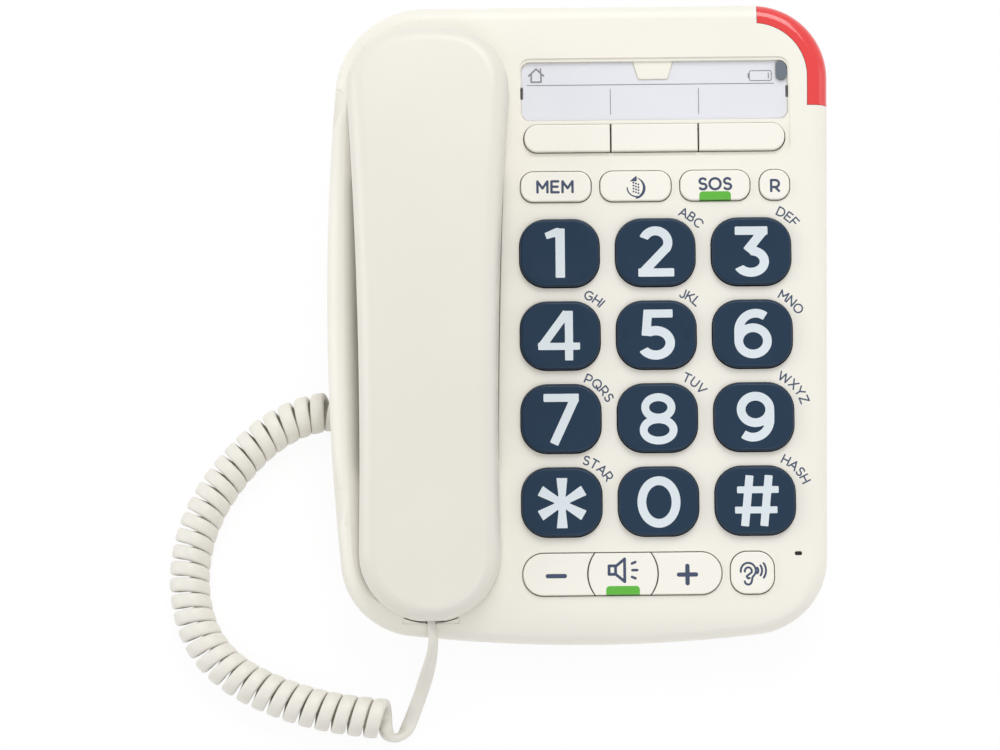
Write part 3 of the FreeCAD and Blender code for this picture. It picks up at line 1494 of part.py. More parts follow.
def rounded_path(points):
    """Straight runs joined by arcs as large as the runs allow. Prints the radii."""
    edges, here, radii = [], points[0], []
    for before, corner, after in zip(points, points[1:], points[2:]):
        into, out = (corner - before), (after - corner)
        turn = into.getAngle(out)
        radius = 0.45 * min(into.Length, out.Length) / math.tan(turn / 2)
        cut = radius * math.tan(turn / 2)
        start, end = corner - into.normalize() * cut, corner + out.normalize() * cut
        edges.append(Part.LineSegment(here, start).toShape())
        edges.append(arc_from(start, into, end))
        here = end
        radii.append(round(radius, 1))
    edges.append(Part.LineSegment(here, points[-1]).toShape())
    print("lead radii", radii)
    return edges


def cord():
    """The cord's three stretches: a lead in the channel, the coil and the lead to the handset."""
    coil = coil_path()
    first, last = coil[0], coil[-1]
    start = first.valueAt(first.FirstParameter)
    end = last.valueAt(last.LastParameter)
    plug = Vector(CHANNEL_END + PLUG_RECESS, CHANNEL_Y, COIL_RADIUS + CORD_WIDTH / 2)
    way = last.tangentAt(last.LastParameter)
    lead = [end, end + way * LEAD_RUN] + [Vector(*place) for place in LEAD_POINTS]
    for v in (-EXIT_RUN, MOUTH_PLUG_RECESS):
        lead.append(slope(HANDSET_U, v - MOUTH_END, MOUTH_JACK_W))
    paths = {"cord_base_lead": [Part.LineSegment(plug, start).toShape()], "cord_coil": coil,
             "cord_handset_lead": rounded_path(lead)}
    report_gap(coil)
    made = {}
    for name, edges in paths.items():
        made[name] = swept(edges)
        section = CORD_SIDES / 2 * math.sin(2 * math.pi / CORD_SIDES) * (CORD_WIDTH / 2) ** 2
        length = sum(edge.Length for edge in edges)
        print(name, "length", round(length, 1), "volume over section times length",
              round(made[name].Volume / section / length, 4))
    return made


def report_gap(edges):
    """Prints the least gap of the coil to itself, from points along it."""
    points = []
    travelled = 0.0
    for edge in edges:
        for share in (0, 1 / 6, 2 / 6, 3 / 6, 4 / 6, 5 / 6):
            at = edge.FirstParameter + (edge.LastParameter - edge.FirstParameter) * share
            points.append((travelled + edge.Length * share, edge.valueAt(at)))
        travelled += edge.Length
    least = CORD_WIDTH * 9
    for index, (passed, point) in enumerate(points):
        for further, other in points[index + 1:index + 60]:
            if further - passed > 3 * CORD_WIDTH:
                least = min(least, point.distanceToPoint(other))
    print("least gap of the coil to itself", round(least - CORD_WIDTH, 2))


def main():
    os.makedirs("parts", exist_ok=True)
    upper_shell, lower_shell = handset_shells()
    on_face = keys()
    on_face.update({
        "keypad_mat": keypad_mat(), "main_board": main_board(), "base_microphone": base_microphone(),
        "label_card": label_card(), "label_cover": label_cover(), "battery_lamp_lens": battery_lamp_lens(),
        "ring_lamp_lens": ring_lamp_lens(), "ring_lamp_leds": ring_lamp_leds(),
        "hook_plunger": hook_plunger(), "hook_switch": hook_switch(), "hook_tab": hook_tab(),
        "handset_upper_shell": upper_shell, "handset_lower_shell": lower_shell,
        "handset_screws": handset_screws(), "earpiece_speaker": earpiece_speaker(),
        "handset_microphone": handset_microphone(), "handset_weight": handset_weight(),
        "handset_cord_jack": handset_cord_jack(), "handset_plug": at_mouth(plug_body(MOUTH_PLUG_RECESS)),
    })
    parts = {name: onto_face(shape) for name, shape in on_face.items()}
    parts.update({
        "upper_housing": upper_housing(), "lower_housing": lower_housing(), "rubber_feet": rubber_feet(),
        "housing_screws": housing_screws(), "battery_door": battery_door(), "battery_cells": battery_cells(),
        "battery_contacts": battery_contacts(), "loudspeaker": loudspeaker(), "line_jack": line_jack(),
        "ringer_switch": ringer_switch(), "handset_jack": at_base_jack(jack_body(JACK, JACK_CAVITY)),
        "base_plug": at_base_jack(plug_body(PLUG_RECESS)),
    })
    parts.update(cord())
    for name, shape in parts.items():
        if not shape.isValid() or not shape.Solids:
            print("not a valid solid:", name, len(shape.Solids))
        shape.exportStep(f"parts/{name}.step")
    print(len(parts), "parts written")


main()
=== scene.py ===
import json
import math

import bpy
import numpy as np
from mathutils import Matrix, Vector


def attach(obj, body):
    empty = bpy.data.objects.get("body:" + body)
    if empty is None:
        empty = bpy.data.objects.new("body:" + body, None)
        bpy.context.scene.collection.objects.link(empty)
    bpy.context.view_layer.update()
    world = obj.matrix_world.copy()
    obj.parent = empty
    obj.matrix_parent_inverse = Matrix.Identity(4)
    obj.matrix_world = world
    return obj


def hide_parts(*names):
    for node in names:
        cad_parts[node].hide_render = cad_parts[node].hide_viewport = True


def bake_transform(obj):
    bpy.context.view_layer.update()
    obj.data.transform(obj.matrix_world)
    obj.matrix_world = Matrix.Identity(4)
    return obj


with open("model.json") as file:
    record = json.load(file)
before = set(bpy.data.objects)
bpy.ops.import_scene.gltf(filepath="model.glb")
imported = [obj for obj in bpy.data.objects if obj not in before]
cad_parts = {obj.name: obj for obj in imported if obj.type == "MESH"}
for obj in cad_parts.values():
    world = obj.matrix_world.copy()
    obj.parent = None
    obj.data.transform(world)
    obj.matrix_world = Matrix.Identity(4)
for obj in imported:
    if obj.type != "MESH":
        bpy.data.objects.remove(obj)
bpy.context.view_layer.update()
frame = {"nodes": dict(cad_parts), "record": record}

# Lengths are in millimetres, but in metres for the lamps, the floor, the relief and the camera's clips
MM = 0.001

# The keyed face: its tilt, its height at the middle, and how far its middle stands behind the origin
FACE_TILT = math.radians(10)
FACE_HEIGHT = 42.0
FACE_BACK = -4.070

# Camera
CAMERA_PLACE = (-0.75, -333.0, 1091.6)
CAMERA_AIM = (-0.75, -4.07, 42.0)
CAMERA_ROLL = math.radians(0.58)
CAMERA_LENS = 118.8
CAMERA_SENSOR = 36
CAMERA_SHIFT = (-0.077, -0.049)
CAMERA_CLIPS = (0.05, 20)

# Light: the sky's strength, then each lamp's name, place, side and watts, all aimed at the origin
SKY_STRENGTH = 0.55
LAMPS = (
    ("rear_light", (0.25, 1.0, 1.5), 1.0, 13.8),
    ("front_light", (0.3, -1.1, 1.3), 0.8, 4.6),
    ("left_light", (-1.3, 0.1, 0.55), 0.8, 4.5),
    ("right_light", (1.3, 0.0, 0.5), 0.8, 1.2),
)
FLOOR_SIDE = 6.0
FLOOR_SHADOW = 0.08

# Materials: what every surface shares
BROAD_GRAIN = 25
GRAIN_DETAIL = 3
ROUGHNESS_SPREAD = 0.05
LEAST_ROUGHNESS = 0.01
RELIEF_DEPTH = 0.0001

# Curly cord: its section's sides, and the power that squares the section's corners
CORD_WIDTH = 4.6
CORD_THICKNESS = 2.7
CORD_SIDES = 14
CORD_POWER = 0.55
COIL_RADIUS = 5.4
COIL_HEIGHT = 6.75
COIL_TURNS = 33.25
COIL_ROOM = 0.15
RAMP_LENGTH = 13.0
TURN_STEPS = 28
AXIS_STEPS = 64
COIL_AXIS = (
    (-72.6, -22.0), (-88.5, -22.0), (-105.0, -29.0), (-119.5, -44.0), (-129.5, -61.5),
    (-132.8, -81.5), (-128.6, -100.5), (-118.0, -113.2), (-101.5, -121.8), (-82.5, -127.5),
    (-66.0, -129.2),
)
BASE_EXIT = (-63.5, -22.0, 6.75)
BASE_LEAD_STEPS = 8
LEAD_POINTS = (
    (-65.9, -131.3, 1.9), (-65.5, -133.3, 2.4), (-63.7, -134.8, 2.6), (-61.3, -134.7, 2.5),
    (-59.4, -133.0, 2.3), (-57.7, -129.6, 2.3), (-56.0, -125.4, 3.7), (-54.1, -121.0, 6.4),
    (-52.5, -117.3, 10.1), (-51.1, -113.9, 14.2), (-49.9, -110.5, 18.7), (-49.2, -107.5, 22.5),
    (-49.1, -104.9, 24.6),
)
LEAD_STEPS = 10
LEAD_TWIST = math.radians(86)
TWIST_START = 1 / 3
BEND_TWIST = math.radians(70)
BEND_SHARE = 0.28
HANDSET_U = -49.8
MOUTH_END = 97.8
LEAD_PLUG_RUN = 1.2
MOUTH_JACK_W = 0.4

# Keypad
KEY_COLUMNS = (-6.36, 25.64, 57.64)
KEY_ROWS = (24.43, -3.34, -31.11, -58.88)
KEY_TOP = 2.4
KEY_DISH = 110.0
KEY_DISH_DEPTH = 0.45
SMALL_KEY_TOP = 1.2

# Flat shapes: how high they lie, and a length that keeps divisions off nought
INK = 0.03
TINY = 1e-9


def on_face(u, v, w):
    """The point of the desk frame, in metres, that lies at u, v, w millimetres on the face."""
    y = v * math.cos(FACE_TILT) - w * math.sin(FACE_TILT) + FACE_BACK
    z = v * math.sin(FACE_TILT) + w * math.cos(FACE_TILT) + FACE_HEIGHT
    return Vector((u, y, z)) * MM


def linear(red, green, blue):
    """A display colour out of 255, as scene linear values."""
    shares = (value / 255 for value in (red, green, blue))
    return [v / 12.92 if v <= 0.04045 else ((v + 0.055) / 1.055) ** 2.4 for v in shares]


# Camera and light

def add_camera():
    place, aim = Vector(CAMERA_PLACE) * MM, Vector(CAMERA_AIM) * MM
    ahead = (aim - place).normalized()
    level = Vector((1, 0, 0))
    above = level.cross(ahead)
    right = level * math.cos(CAMERA_ROLL) - above * math.sin(CAMERA_ROLL)
    data = bpy.data.cameras.new("camera")
    camera = bpy.data.objects.new("camera", data)
    bpy.context.scene.collection.objects.link(camera)
    turned = Matrix((right, right.cross(ahead), -ahead)).transposed()
    camera.matrix_world = Matrix.Translation(place) @ turned.to_4x4()
    data.lens = CAMERA_LENS
    data.sensor_width = CAMERA_SENSOR
    data.shift_x, data.shift_y = CAMERA_SHIFT
    data.clip_start, data.clip_end = CAMERA_CLIPS
    bpy.context.scene.camera = camera


def add_lamp(name, place, side, watts):
    data = bpy.data.lights.new(name, "AREA")
    data.shape = "SQUARE"
    data.size = side
    data.energy = watts
    light = bpy.data.objects.new(name, data)
    bpy.context.scene.collection.objects.link(light)
    light.location = place
    light.rotation_mode = "QUATERNION"
    light.rotation_quaternion = (-Vector(place)).to_track_quat("-Z", "Y")


def seen_share(nodes, links):
    """1 where the ray comes from the camera, a mirror or a clear surface."""
    path = nodes.new("ShaderNodeLightPath")
    total = path.outputs["Is Camera Ray"]
    for kind in ("Is Glossy Ray", "Is Transmission Ray"):
        either = nodes.new("ShaderNodeMath")
        either.operation = "MAXIMUM"
        links.new(total, either.inputs[0])
        links.new(path.outputs[kind], either.inputs[1])
        total = either.outputs[0]
    return total


def add_world():
    """A sky that lights the object and is seen as plain white."""
    world = bpy.data.worlds.new("studio")
    world.use_nodes = True
    nodes, links = world.node_tree.nodes, world.node_tree.links
    nodes.clear()
    lit, seen = nodes.new("ShaderNodeBackground"), nodes.new("ShaderNodeBackground")
    lit.inputs["Strength"].default_value = SKY_STRENGTH
    lit.inputs["Color"].default_value = (1, 1, 1, 1)
    seen.inputs["Color"].default_value = (1, 1, 1, 1)
    mix, out = nodes.new("ShaderNodeMixShader"), nodes.new("ShaderNodeOutputWorld")
    links.new(seen_share(nodes, links), mix.inputs[0])
    links.new(lit.outputs[0], mix.inputs[1])
    links.new(seen.outputs[0], mix.inputs[2])
    links.new(mix.outputs[0], out.inputs[0])
    bpy.context.scene.world = world


def add_floor():
    """A white floor that glows to the camera, but for a small share that shows shadows."""
    mesh = bpy.data.meshes.new("floor")
    half = FLOOR_SIDE / 2
    corners = [(-half, -half, 0), (half, -half, 0), (half, half, 0), (-half, half, 0)]
    mesh.from_pydata(corners, [], [(0, 1, 2, 3)])
    floor = bpy.data.objects.new("floor", mesh)
    bpy.context.scene.collection.objects.link(floor)
    material = bpy.data.materials.new("floor")
    material.use_nodes = True
    nodes, links = material.node_tree.nodes, material.node_tree.links
    nodes.clear()
    matt, glow = nodes.new("ShaderNodeBsdfDiffuse"), nodes.new("ShaderNodeEmission")
    matt.inputs["Color"].default_value = (1, 1, 1, 1)
    glow.inputs["Color"].default_value = (1, 1, 1, 1)
    scaled = nodes.new("ShaderNodeMath")
    scaled.operation = "MULTIPLY"
    scaled.inputs[1].default_value = 1 - FLOOR_SHADOW
    mix, out = nodes.new("ShaderNodeMixShader"), nodes.new("ShaderNodeOutputMaterial")
    links.new(seen_share(nodes, links), scaled.inputs[0])
    links.new(scaled.outputs[0], mix.inputs[0])
    links.new(matt.outputs[0], mix.inputs[1])
    links.new(glow.outputs[0], mix.inputs[2])
    links.new(mix.outputs[0], out.inputs[0])
    mesh.materials.append(material)


# Materials

def surface(name, colour, roughness, grain=900.0, shade=0.03, bump=0.02, **fixed):
    """A surface whose colour, roughness and height vary finely, and whose other values are constant."""
    material = bpy.data.materials.new(name)
    material.use_nodes = True
    nodes, links = material.node_tree.nodes, material.node_tree.links
    shader = nodes["Principled BSDF"]
    place = nodes.new("ShaderNodeTexCoord")
    fine, broad = nodes.new("ShaderNodeTexNoise"), nodes.new("ShaderNodeTexNoise")
    fine.inputs["Scale"].default_value = grain
    broad.inputs["Scale"].default_value = BROAD_GRAIN
    for noise in (fine, broad):
        noise.inputs["Detail"].default_value = GRAIN_DETAIL
        links.new(place.outputs["Object"], noise.inputs["Vector"])
    mixed = nodes.new("ShaderNodeMix")
    mixed.data_type = "RGBA"
    start, end = [(*[c * scale for c in colour], 1) for scale in (1 - shade, 1 + shade)]
    mixed.inputs["A"].default_value = start
    mixed.inputs["B"].default_value = end
    links.new(broad.outputs[0], mixed.inputs["Factor"])
    links.new(mixed.outputs["Result"], shader.inputs["Base Color"])
    spread = nodes.new("ShaderNodeMapRange")
    spread.inputs["To Min"].default_value = max(roughness - ROUGHNESS_SPREAD, LEAST_ROUGHNESS)
    spread.inputs["To Max"].default_value = roughness + ROUGHNESS_SPREAD
    links.new(fine.outputs[0], spread.inputs["Value"])
    links.new(spread.outputs[0], shader.inputs["Roughness"])
    relief = nodes.new("ShaderNodeBump")
    relief.inputs["Strength"].default_value = bump
    relief.inputs["Distance"].default_value = RELIEF_DEPTH
    links.new(fine.outputs[0], relief.inputs["Height"])
    links.new(relief.outputs[0], shader.inputs["Normal"])
    for key, value in fixed.items():
        shader.inputs[key.replace("_", " ")].default_value = value
    return material


materials = {
    "housing_plastic": surface("housing_plastic", linear(238, 235, 225), 0.42, bump=0.08),
    "handset_plastic": surface("handset_plastic", linear(227, 224, 214), 0.36, bump=0.04),
    "key_plastic": surface(
        "key_plastic", linear(29, 51, 73), 0.3, shade=0.06, bump=0.03, Specular_IOR_Level=0.2,
    ),
    "small_key_plastic": surface("small_key_plastic", linear(241, 238, 229), 0.4, bump=0.05),
    "green_light": surface("green_light", linear(90, 178, 52), 0.25, shade=0.08),
    "red_light": surface("red_light", linear(226, 44, 44), 0.16, shade=0.1, Coat_Weight=0.5),
    "dark_lens": surface("dark_lens", linear(98, 108, 118), 0.2, Coat_Weight=0.4),
    "clear_window": surface("clear_window", linear(250, 251, 255), 0.08, Alpha=0.1),
    "card": surface("card", linear(227, 228, 234), 0.6, grain=1500.0, bump=0.1),
    "cord_sheath": surface("cord_sheath", linear(228, 225, 216), 0.45, grain=700.0, bump=0.1),
    "plug_clear": surface("plug_clear", linear(238, 240, 238), 0.15, Transmission_Weight=0.7),
    "jack_black": surface("jack_black", linear(42, 42, 44), 0.45),
    "plunger_plastic": surface("plunger_plastic", linear(228, 226, 218), 0.35),
    "board": surface("board", linear(52, 104, 66), 0.5, grain=400.0, shade=0.15),
    "mat_rubber": surface("mat_rubber", linear(150, 152, 150), 0.65),
    "foot_rubber": surface("foot_rubber", linear(74, 74, 74), 0.8, grain=1200.0, bump=0.3),
    "screw_steel": surface("screw_steel", linear(190, 190, 188), 0.3, Metallic=1.0),
    "cell_can": surface("cell_can", linear(82, 112, 150), 0.3, Metallic=0.6, Coat_Weight=0.3),
    "speaker_metal": surface("speaker_metal", linear(160, 160, 156), 0.4, Metallic=0.8),
}


def dress_nodes():
    """Gives each solid from the frame the surface that its record names."""
    slots = {part["node"]: part["material_slot"] for part in frame["record"]["subparts"]}
    for name, node in frame["nodes"].items():
        node.data.materials.clear()
        node.data.materials.append(materials[slots[name]])


# Curly cord

def spline_points(route, steps):
    """Points along the smooth curve whose control points are the route's, in metres."""
    data = bpy.data.curves.new("route", "CURVE")
    data.dimensions = "3D"
    data.resolution_u = steps
    spline = data.splines.new("NURBS")
    spline.points.add(len(route) - 1)
    for point, place in zip(spline.points, route):
        point.co = (*place, 1)
    spline.order_u = 3
    spline.use_endpoint_u = True
    guide = bpy.data.objects.new("route", data)
    bpy.context.scene.collection.objects.link(guide)
    mesh = bpy.data.meshes.new_from_object(guide)
    points = np.array([vertex.co for vertex in mesh.vertices])
    bpy.data.objects.remove(guide)
    bpy.data.curves.remove(data)
    bpy.data.meshes.remove(mesh)
    return points


def travelled(points):
    """The distance along a row of points, at each of them."""
    return np.concatenate(([0], np.cumsum(np.linalg.norm(np.diff(points, axis=0), axis=1))))


def unit(vectors):
    return vectors / np.linalg.norm(vectors, axis=-1, keepdims=True)


def coil_line():
    """The wire's middle along the coil, its normal towards the axis, and its width."""
    axis = spline_points([(x * MM, y * MM, COIL_HEIGHT * MM) for x, y in COIL_AXIS], AXIS_STEPS)
    along = travelled(axis)
    ways = unit(np.gradient(axis, along, axis=0))
    length = along[-1]
    turns = np.linspace(0, COIL_TURNS, round(COIL_TURNS * TURN_STEPS) + 1)
    ramp = np.minimum(turns, 1)
    run = RAMP_LENGTH * MM
    pitch = (length - run) / (COIL_TURNS - 1)
    at = pitch * (turns - ramp) + run * ramp + (pitch - run) * ramp ** 2 * (ramp - 1)
    middle = np.stack([np.interp(at, along, axis[:, k]) for k in range(3)], 1)
    way = unit(np.stack([np.interp(at, along, ways[:, k]) for k in range(3)], 1))
    side = unit(np.cross((0, 0, 1), way))
    angle = 2 * np.pi * turns[:, None]
    outward = side * np.cos(angle) - np.array((0, 0, 1)) * np.sin(angle)
    ease = (ramp * ramp * (3 - 2 * ramp))[:, None]
    bend = np.gradient(way, at, axis=0)
    room = pitch * (1 - COIL_RADIUS * MM * np.sum(bend * outward, axis=1))
    width = np.minimum(CORD_WIDTH * MM, room - COIL_ROOM * MM)
    normal = unit(ease * -outward + (1 - ease) * np.array((0, 0, 1)))
    return middle + outward * COIL_RADIUS * MM * ease, normal, width


def section_points(width):
    """The cord's section: flat, with rounded edges."""
    points = []
    for number in range(CORD_SIDES):
        angle = 2 * math.pi * (number + 0.5) / CORD_SIDES
        across, up = math.cos(angle), math.sin(angle)
        points.append((
            math.copysign(abs(across) ** CORD_POWER, across) * width / 2,
            math.copysign(abs(up) ** CORD_POWER, up) * CORD_THICKNESS * MM / 2,
        ))
    return points


def cord_mesh(points, normals, widths):
    """The closed flat cord along a row of points."""
    ways = unit(np.gradient(points, travelled(points), axis=0))
    vertices, faces = [], []
    for point, way, normal, width in zip(points, ways, normals, widths):
        level = unit(normal - way * np.dot(normal, way))
        across = np.cross(way, level)
        vertices += [point + across * x + level * y for x, y in section_points(width)]
    for ring in range(len(points) - 1):
        for number in range(CORD_SIDES):
            here, there = ring * CORD_SIDES + number, ring * CORD_SIDES + (number + 1) % CORD_SIDES
            faces.append((here, there, there + CORD_SIDES, here + CORD_SIDES))
    faces.append(tuple(reversed(range(CORD_SIDES))))
    faces.append(tuple(range(len(vertices) - CORD_SIDES, len(vertices))))
    return new_piece("curly_cord", vertices, faces, materials["cord_sheath"], smooth=True)


def new_piece(name, vertices, faces, material, smooth=False):
    """A mesh object with one material."""
    mesh = bpy.data.meshes.new(name)
    mesh.from_pydata([tuple(v) for v in vertices], [], faces)
    mesh.validate()
    if smooth:
        mesh.shade_smooth()
    mesh.materials.append(material)
    piece = bpy.data.objects.new(name, mesh)
    bpy.context.scene.collection.objects.link(piece)
    return piece


def twist_along(points):
    """How far the lead is turned about itself: one way near its start, and the other towards its end."""
    share = travelled(points) / travelled(points)[-1]
    bend = np.sin(np.pi * np.clip(share / BEND_SHARE, 0, 1)) ** 2
    rise = np.clip((share - TWIST_START) / (1 - TWIST_START), 0, 1)
    return (LEAD_TWIST * rise * rise * (3 - 2 * rise) - BEND_TWIST * bend)[:, None]


def make_cord():
    """The whole cord from the base to the handset, in place of its three solids."""
    coil, coil_normals, coil_widths = coil_line()
    base_lead = np.linspace(Vector(BASE_EXIT) * MM, coil[0], BASE_LEAD_STEPS + 1)[:-1]
    lead = [coil[-1]] + [np.array(place) * MM for place in LEAD_POINTS]
    lead.append(np.array(on_face(HANDSET_U, LEAD_PLUG_RUN - MOUTH_END, MOUTH_JACK_W)))
    tail = spline_points(lead, LEAD_STEPS)[1:]
    points = np.concatenate([base_lead, coil, tail])
    up = np.array((0.0, 0.0, 1.0))
    twist = twist_along(tail)
    aside = unit(np.cross(np.gradient(tail, axis=0), up))
    tail_normals = up * np.cos(twist) + aside * np.sin(twist)
    normals = np.concatenate([np.tile(up, (len(base_lead), 1)), coil_normals, tail_normals])
    widths = np.concatenate([
        np.full(len(base_lead), CORD_WIDTH * MM), coil_widths, np.full(len(tail), CORD_WIDTH * MM),
    ])
    cord = cord_mesh(points, normals, widths)
    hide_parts("cord_base_lead", "cord_coil", "cord_handset_lead")
    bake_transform(cord)


# Flat shapes, as signed distances: below nought inside

def bar(start, end, width):
    """A straight stroke with square ends."""
    (x0, y0), (x1, y1) = start, end
    long = math.hypot(x1 - x0, y1 - y0)
    dx, dy = (x1 - x0) / long, (y1 - y0) / long

    def distance(x, y):
        along = (x - x0) * dx + (y - y0) * dy
        across = np.abs((y - y0) * dx - (x - x0) * dy)
        return np.maximum(across - width / 2, np.maximum(-along, along - long))
    return distance


def bow(centre, radii, start, end, width):
    """A curved stroke with square ends, from one angle to another in degrees."""
    middle, half = math.radians(start + end) / 2, abs(math.radians(end - start)) / 2

    def distance(x, y):
        dx, dy = (x - centre[0]) / radii[0], (y - centre[1]) / radii[1]
        out = np.hypot(dx, dy) + TINY
        slope = np.hypot(dx / radii[0], dy / radii[1]) + TINY
        band = np.abs((out - 1) * out / slope) - width / 2
        turn = np.arctan2(dy, dx) - middle
        beyond = np.abs((turn + np.pi) % (2 * np.pi) - np.pi) - half
        return np.maximum(band, beyond * out * sum(radii) / 2)
    return distance


def from_line(x, y, start, end):
    """The distance of points from a straight line with two ends."""
    (x0, y0), (x1, y1) = start, end
    dx, dy = x1 - x0, y1 - y0
    share = np.clip(((x - x0) * dx + (y - y0) * dy) / (dx * dx + dy * dy), 0, 1)
    return np.hypot(x - x0 - share * dx, y - y0 - share * dy)


def patch(*corners):
    """A filled polygon."""
    def distance(x, y):
        inside = np.zeros(x.shape, bool)
        nearest = np.full(x.shape, np.inf)
        for start, end in zip(corners, corners[1:] + corners[:1]):
            nearest = np.minimum(nearest, from_line(x, y, start, end))
            (x0, y0), (x1, y1) = start, end
            inside ^= ((y0 > y) != (y1 > y)) & (x < x0 + (y - y0) * (x1 - x0) / ((y1 - y0) or TINY))
        return np.where(inside, -nearest, nearest)
    return distance


def pen(width, *points):
    """A thin line through points, with round ends."""
    def distance(x, y):
        nearest = np.full(x.shape, np.inf)
        for start, end in zip(points, points[1:]):
            nearest = np.minimum(nearest, from_line(x, y, start, end))
        return nearest - width / 2
    return distance


def disc(centre, radius):
    return lambda x, y: np.hypot(x - centre[0], y - centre[1]) - radius


def less(first, second):
    return lambda x, y: np.maximum(first(x, y), -second(x, y))


def all_of(shapes):
    def distance(x, y):
        nearest = shapes[0](x, y)
        for shape in shapes[1:]:
            nearest = np.minimum(nearest, shape(x, y))
        return nearest
    return distance


def moved(shape, x, y, turn=0.0):
    """A shape turned about its origin, then moved."""
    c, s = math.cos(turn), math.sin(turn)
    return lambda px, py: shape((px - x) * c + (py - y) * s, (py - y) * c - (px - x) * s)


def traced(shape, low, high, step):
    """Points and faces of a flat shape, cut along its edge between the points of a grid."""
    xs, ys = np.arange(low[0], high[0] + step, step), np.arange(low[1], high[1] + step, step)
    grid_x, grid_y = np.meshgrid(xs, ys, indexing="ij")
    field = shape(grid_x, grid_y)
    points, found, faces = [], {}, []

    def point(key, x, y):
        if key not in found:
            found[key] = len(points)
            points.append((x, y))
        return found[key]

    for i in range(len(xs) - 1):
        for j in range(len(ys) - 1):
            if field[i:i + 2, j:j + 2].min() >= 0:
                continue
            ring = []
            around = ((i, j), (i + 1, j), (i + 1, j + 1), (i, j + 1))
            for here, there in zip(around, around[1:] + around[:1]):
                near, far = field[here], field[there]
                if near < 0:
                    ring.append(point(here, xs[here[0]], ys[here[1]]))
                if (near < 0) != (far < 0):
                    share = near / (near - far)
                    key = (min(here, there), max(here, there))
                    x = xs[here[0]] + (xs[there[0]] - xs[here[0]]) * share
                    y = ys[here[1]] + (ys[there[1]] - ys[here[1]]) * share
                    ring.append(point(key, x, y))
            if len(ring) > 2:
                faces.append(ring)
    return points, faces


def box_about(u, v, half_u, half_v):
    """The limits of a box with its middle at a place."""
    return (u - half_u, u + half_u), (v - half_v, v + half_v)


def flat_at(w):
    """A surface at one height over the face."""
    return lambda u, v: w


def printed(name, body, shape, box, step, height, material):
    """A flat shape laid on a body. height gives the surface under a point of the face."""
    (low_u, high_u), (low_v, high_v) = box
    points, faces = traced(shape, (low_u, low_v), (high_u, high_v), step)
    vertices = [on_face(u, v, height(u, v) + INK) for u, v in points]
    piece = new_piece(name, vertices, faces, material)
    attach(piece, body)


# Where the cord leaves under the handset: the rim, carried on up to the handset's collar. The outline runs
# outward from the handset's axis, and the sheet rises from its front edge, whose place and height are given.
LIP_SIDE = (
    (9.35, -98.35), (9.35, -95.2), (9.0, -95.2), (9.0, -96.6), (8.2, -96.9), (7.2, -97.22),
    (6.2, -97.5), (5.2, -97.72), (4.2, -97.9), (3.3, -97.98), (1.75, -97.98), (1.75, -98.35),
)
LIP_EDGE = (-98.4, -2.25)
LIP_SLOPE = 0.5
LIP_BOX = ((HANDSET_U - 10, HANDSET_U + 10), (-99, -94.5))
LIP_GRID = 0.2


def lip_height(u, v):
    return LIP_EDGE[1] + (v - LIP_EDGE[0]) * LIP_SLOPE


def add_lips():
    slot = "housing_plastic"
    for side, way in (("left", -1), ("right", 1)):
        shape = patch(*[(HANDSET_U + way * out, v) for out, v in LIP_SIDE])
        printed(f"channel_lip_{side}", "base", shape, LIP_BOX, LIP_GRID, lip_height, materials[slot])


# Digits, in a box 17 mm high with its middle at nought

def star_shapes():
    """Six arms that widen outward, and a disc that joins them."""
    near, far, thin, wide = 0.6, 8.3, 1.0, 1.8
    shapes = [disc((0, 0), 1.6)]
    for number in range(6):
        angle = math.radians(90 + 60 * number)
        c, s = math.cos(angle), math.sin(angle)
        shapes.append(patch(
            (near * c - thin * s, near * s + thin * c), (far * c - wide * s, far * s + wide * c),
            (far * c + wide * s, far * s - wide * c), (near * c + thin * s, near * s - thin * c),
        ))
    return shapes


def digit_shapes():
    six = [
        bow((0, -2.4), (4.75, 4.4), -180, 180, 2.9),
        bar((-4.75, -2.4), (-4.75, 0.9), 2.9),
        bow((0.9, 0.9), (5.65, 5.95), 180, 55, 2.9),
    ]
    return {
        "1": [
            bar((0.4, -8.3), (0.4, 8.3), 3.1),
            patch((-4.75, 6.8), (-4.05, 4.75), (-1.1, 5.6), (0.2, 8.5), (-0.9, 8.5)),
        ],
        "2": [
            bow((-0.15, 3.0), (4.15, 3.95), 158, -38, 3.0),
            bar((3.6, 1.3), (-4.3, -6.9), 3.0),
            bar((-5.95, -7.1), (6.0, -7.1), 2.8),
        ],
        "3": [
            bar((-5.5, 7.1), (5.4, 7.1), 2.8),
            bar((3.9, 6.9), (-1.6, 0.25), 3.0),
            bow((-0.3, -3.3), (4.5, 3.65), 92, -150, 3.05),
        ],
        "4": [
            bar((3.3, -8.3), (3.3, 8.3), 2.7),
            bar((-6.95, -3.55), (6.95, -3.55), 2.4),
            bar((2.6, 7.75), (-6.1, -4.0), 2.7),
        ],
        "5": [
            bar((-4.4, 7.1), (5.3, 7.1), 2.7),
            bar((-2.95, 7.6), (-3.65, -0.3), 2.9),
            bow((-0.4, -2.7), (4.8, 4.1), 125, -148, 3.1),
        ],
        "6": six,
        "7": [
            bar((-5.85, 7.0), (5.85, 7.0), 2.65),
            bar((4.45, 6.6), (-2.5, -8.4), 2.95),
        ],
        "8": [
            bow((0, 3.7), (4.35, 3.4), -180, 180, 2.6),
            bow((0, -3.8), (4.95, 3.55), -180, 180, 2.6),
        ],
        "9": [moved(all_of(six), 0, 0, math.pi)],
        "0": [bow((0, 0), (5.65, 7.05), -180, 180, 2.9)],
        "hash": [
            bar((-4.1, -8.4), (-2.35, 8.4), 2.65), bar((2.25, -8.4), (4.0, 8.4), 2.65),
            bar((-6.55, 3.65), (7.2, 3.65), 2.25), bar((-7.3, -3.05), (6.7, -3.05), 2.25),
        ],
        "star": star_shapes(),
    }


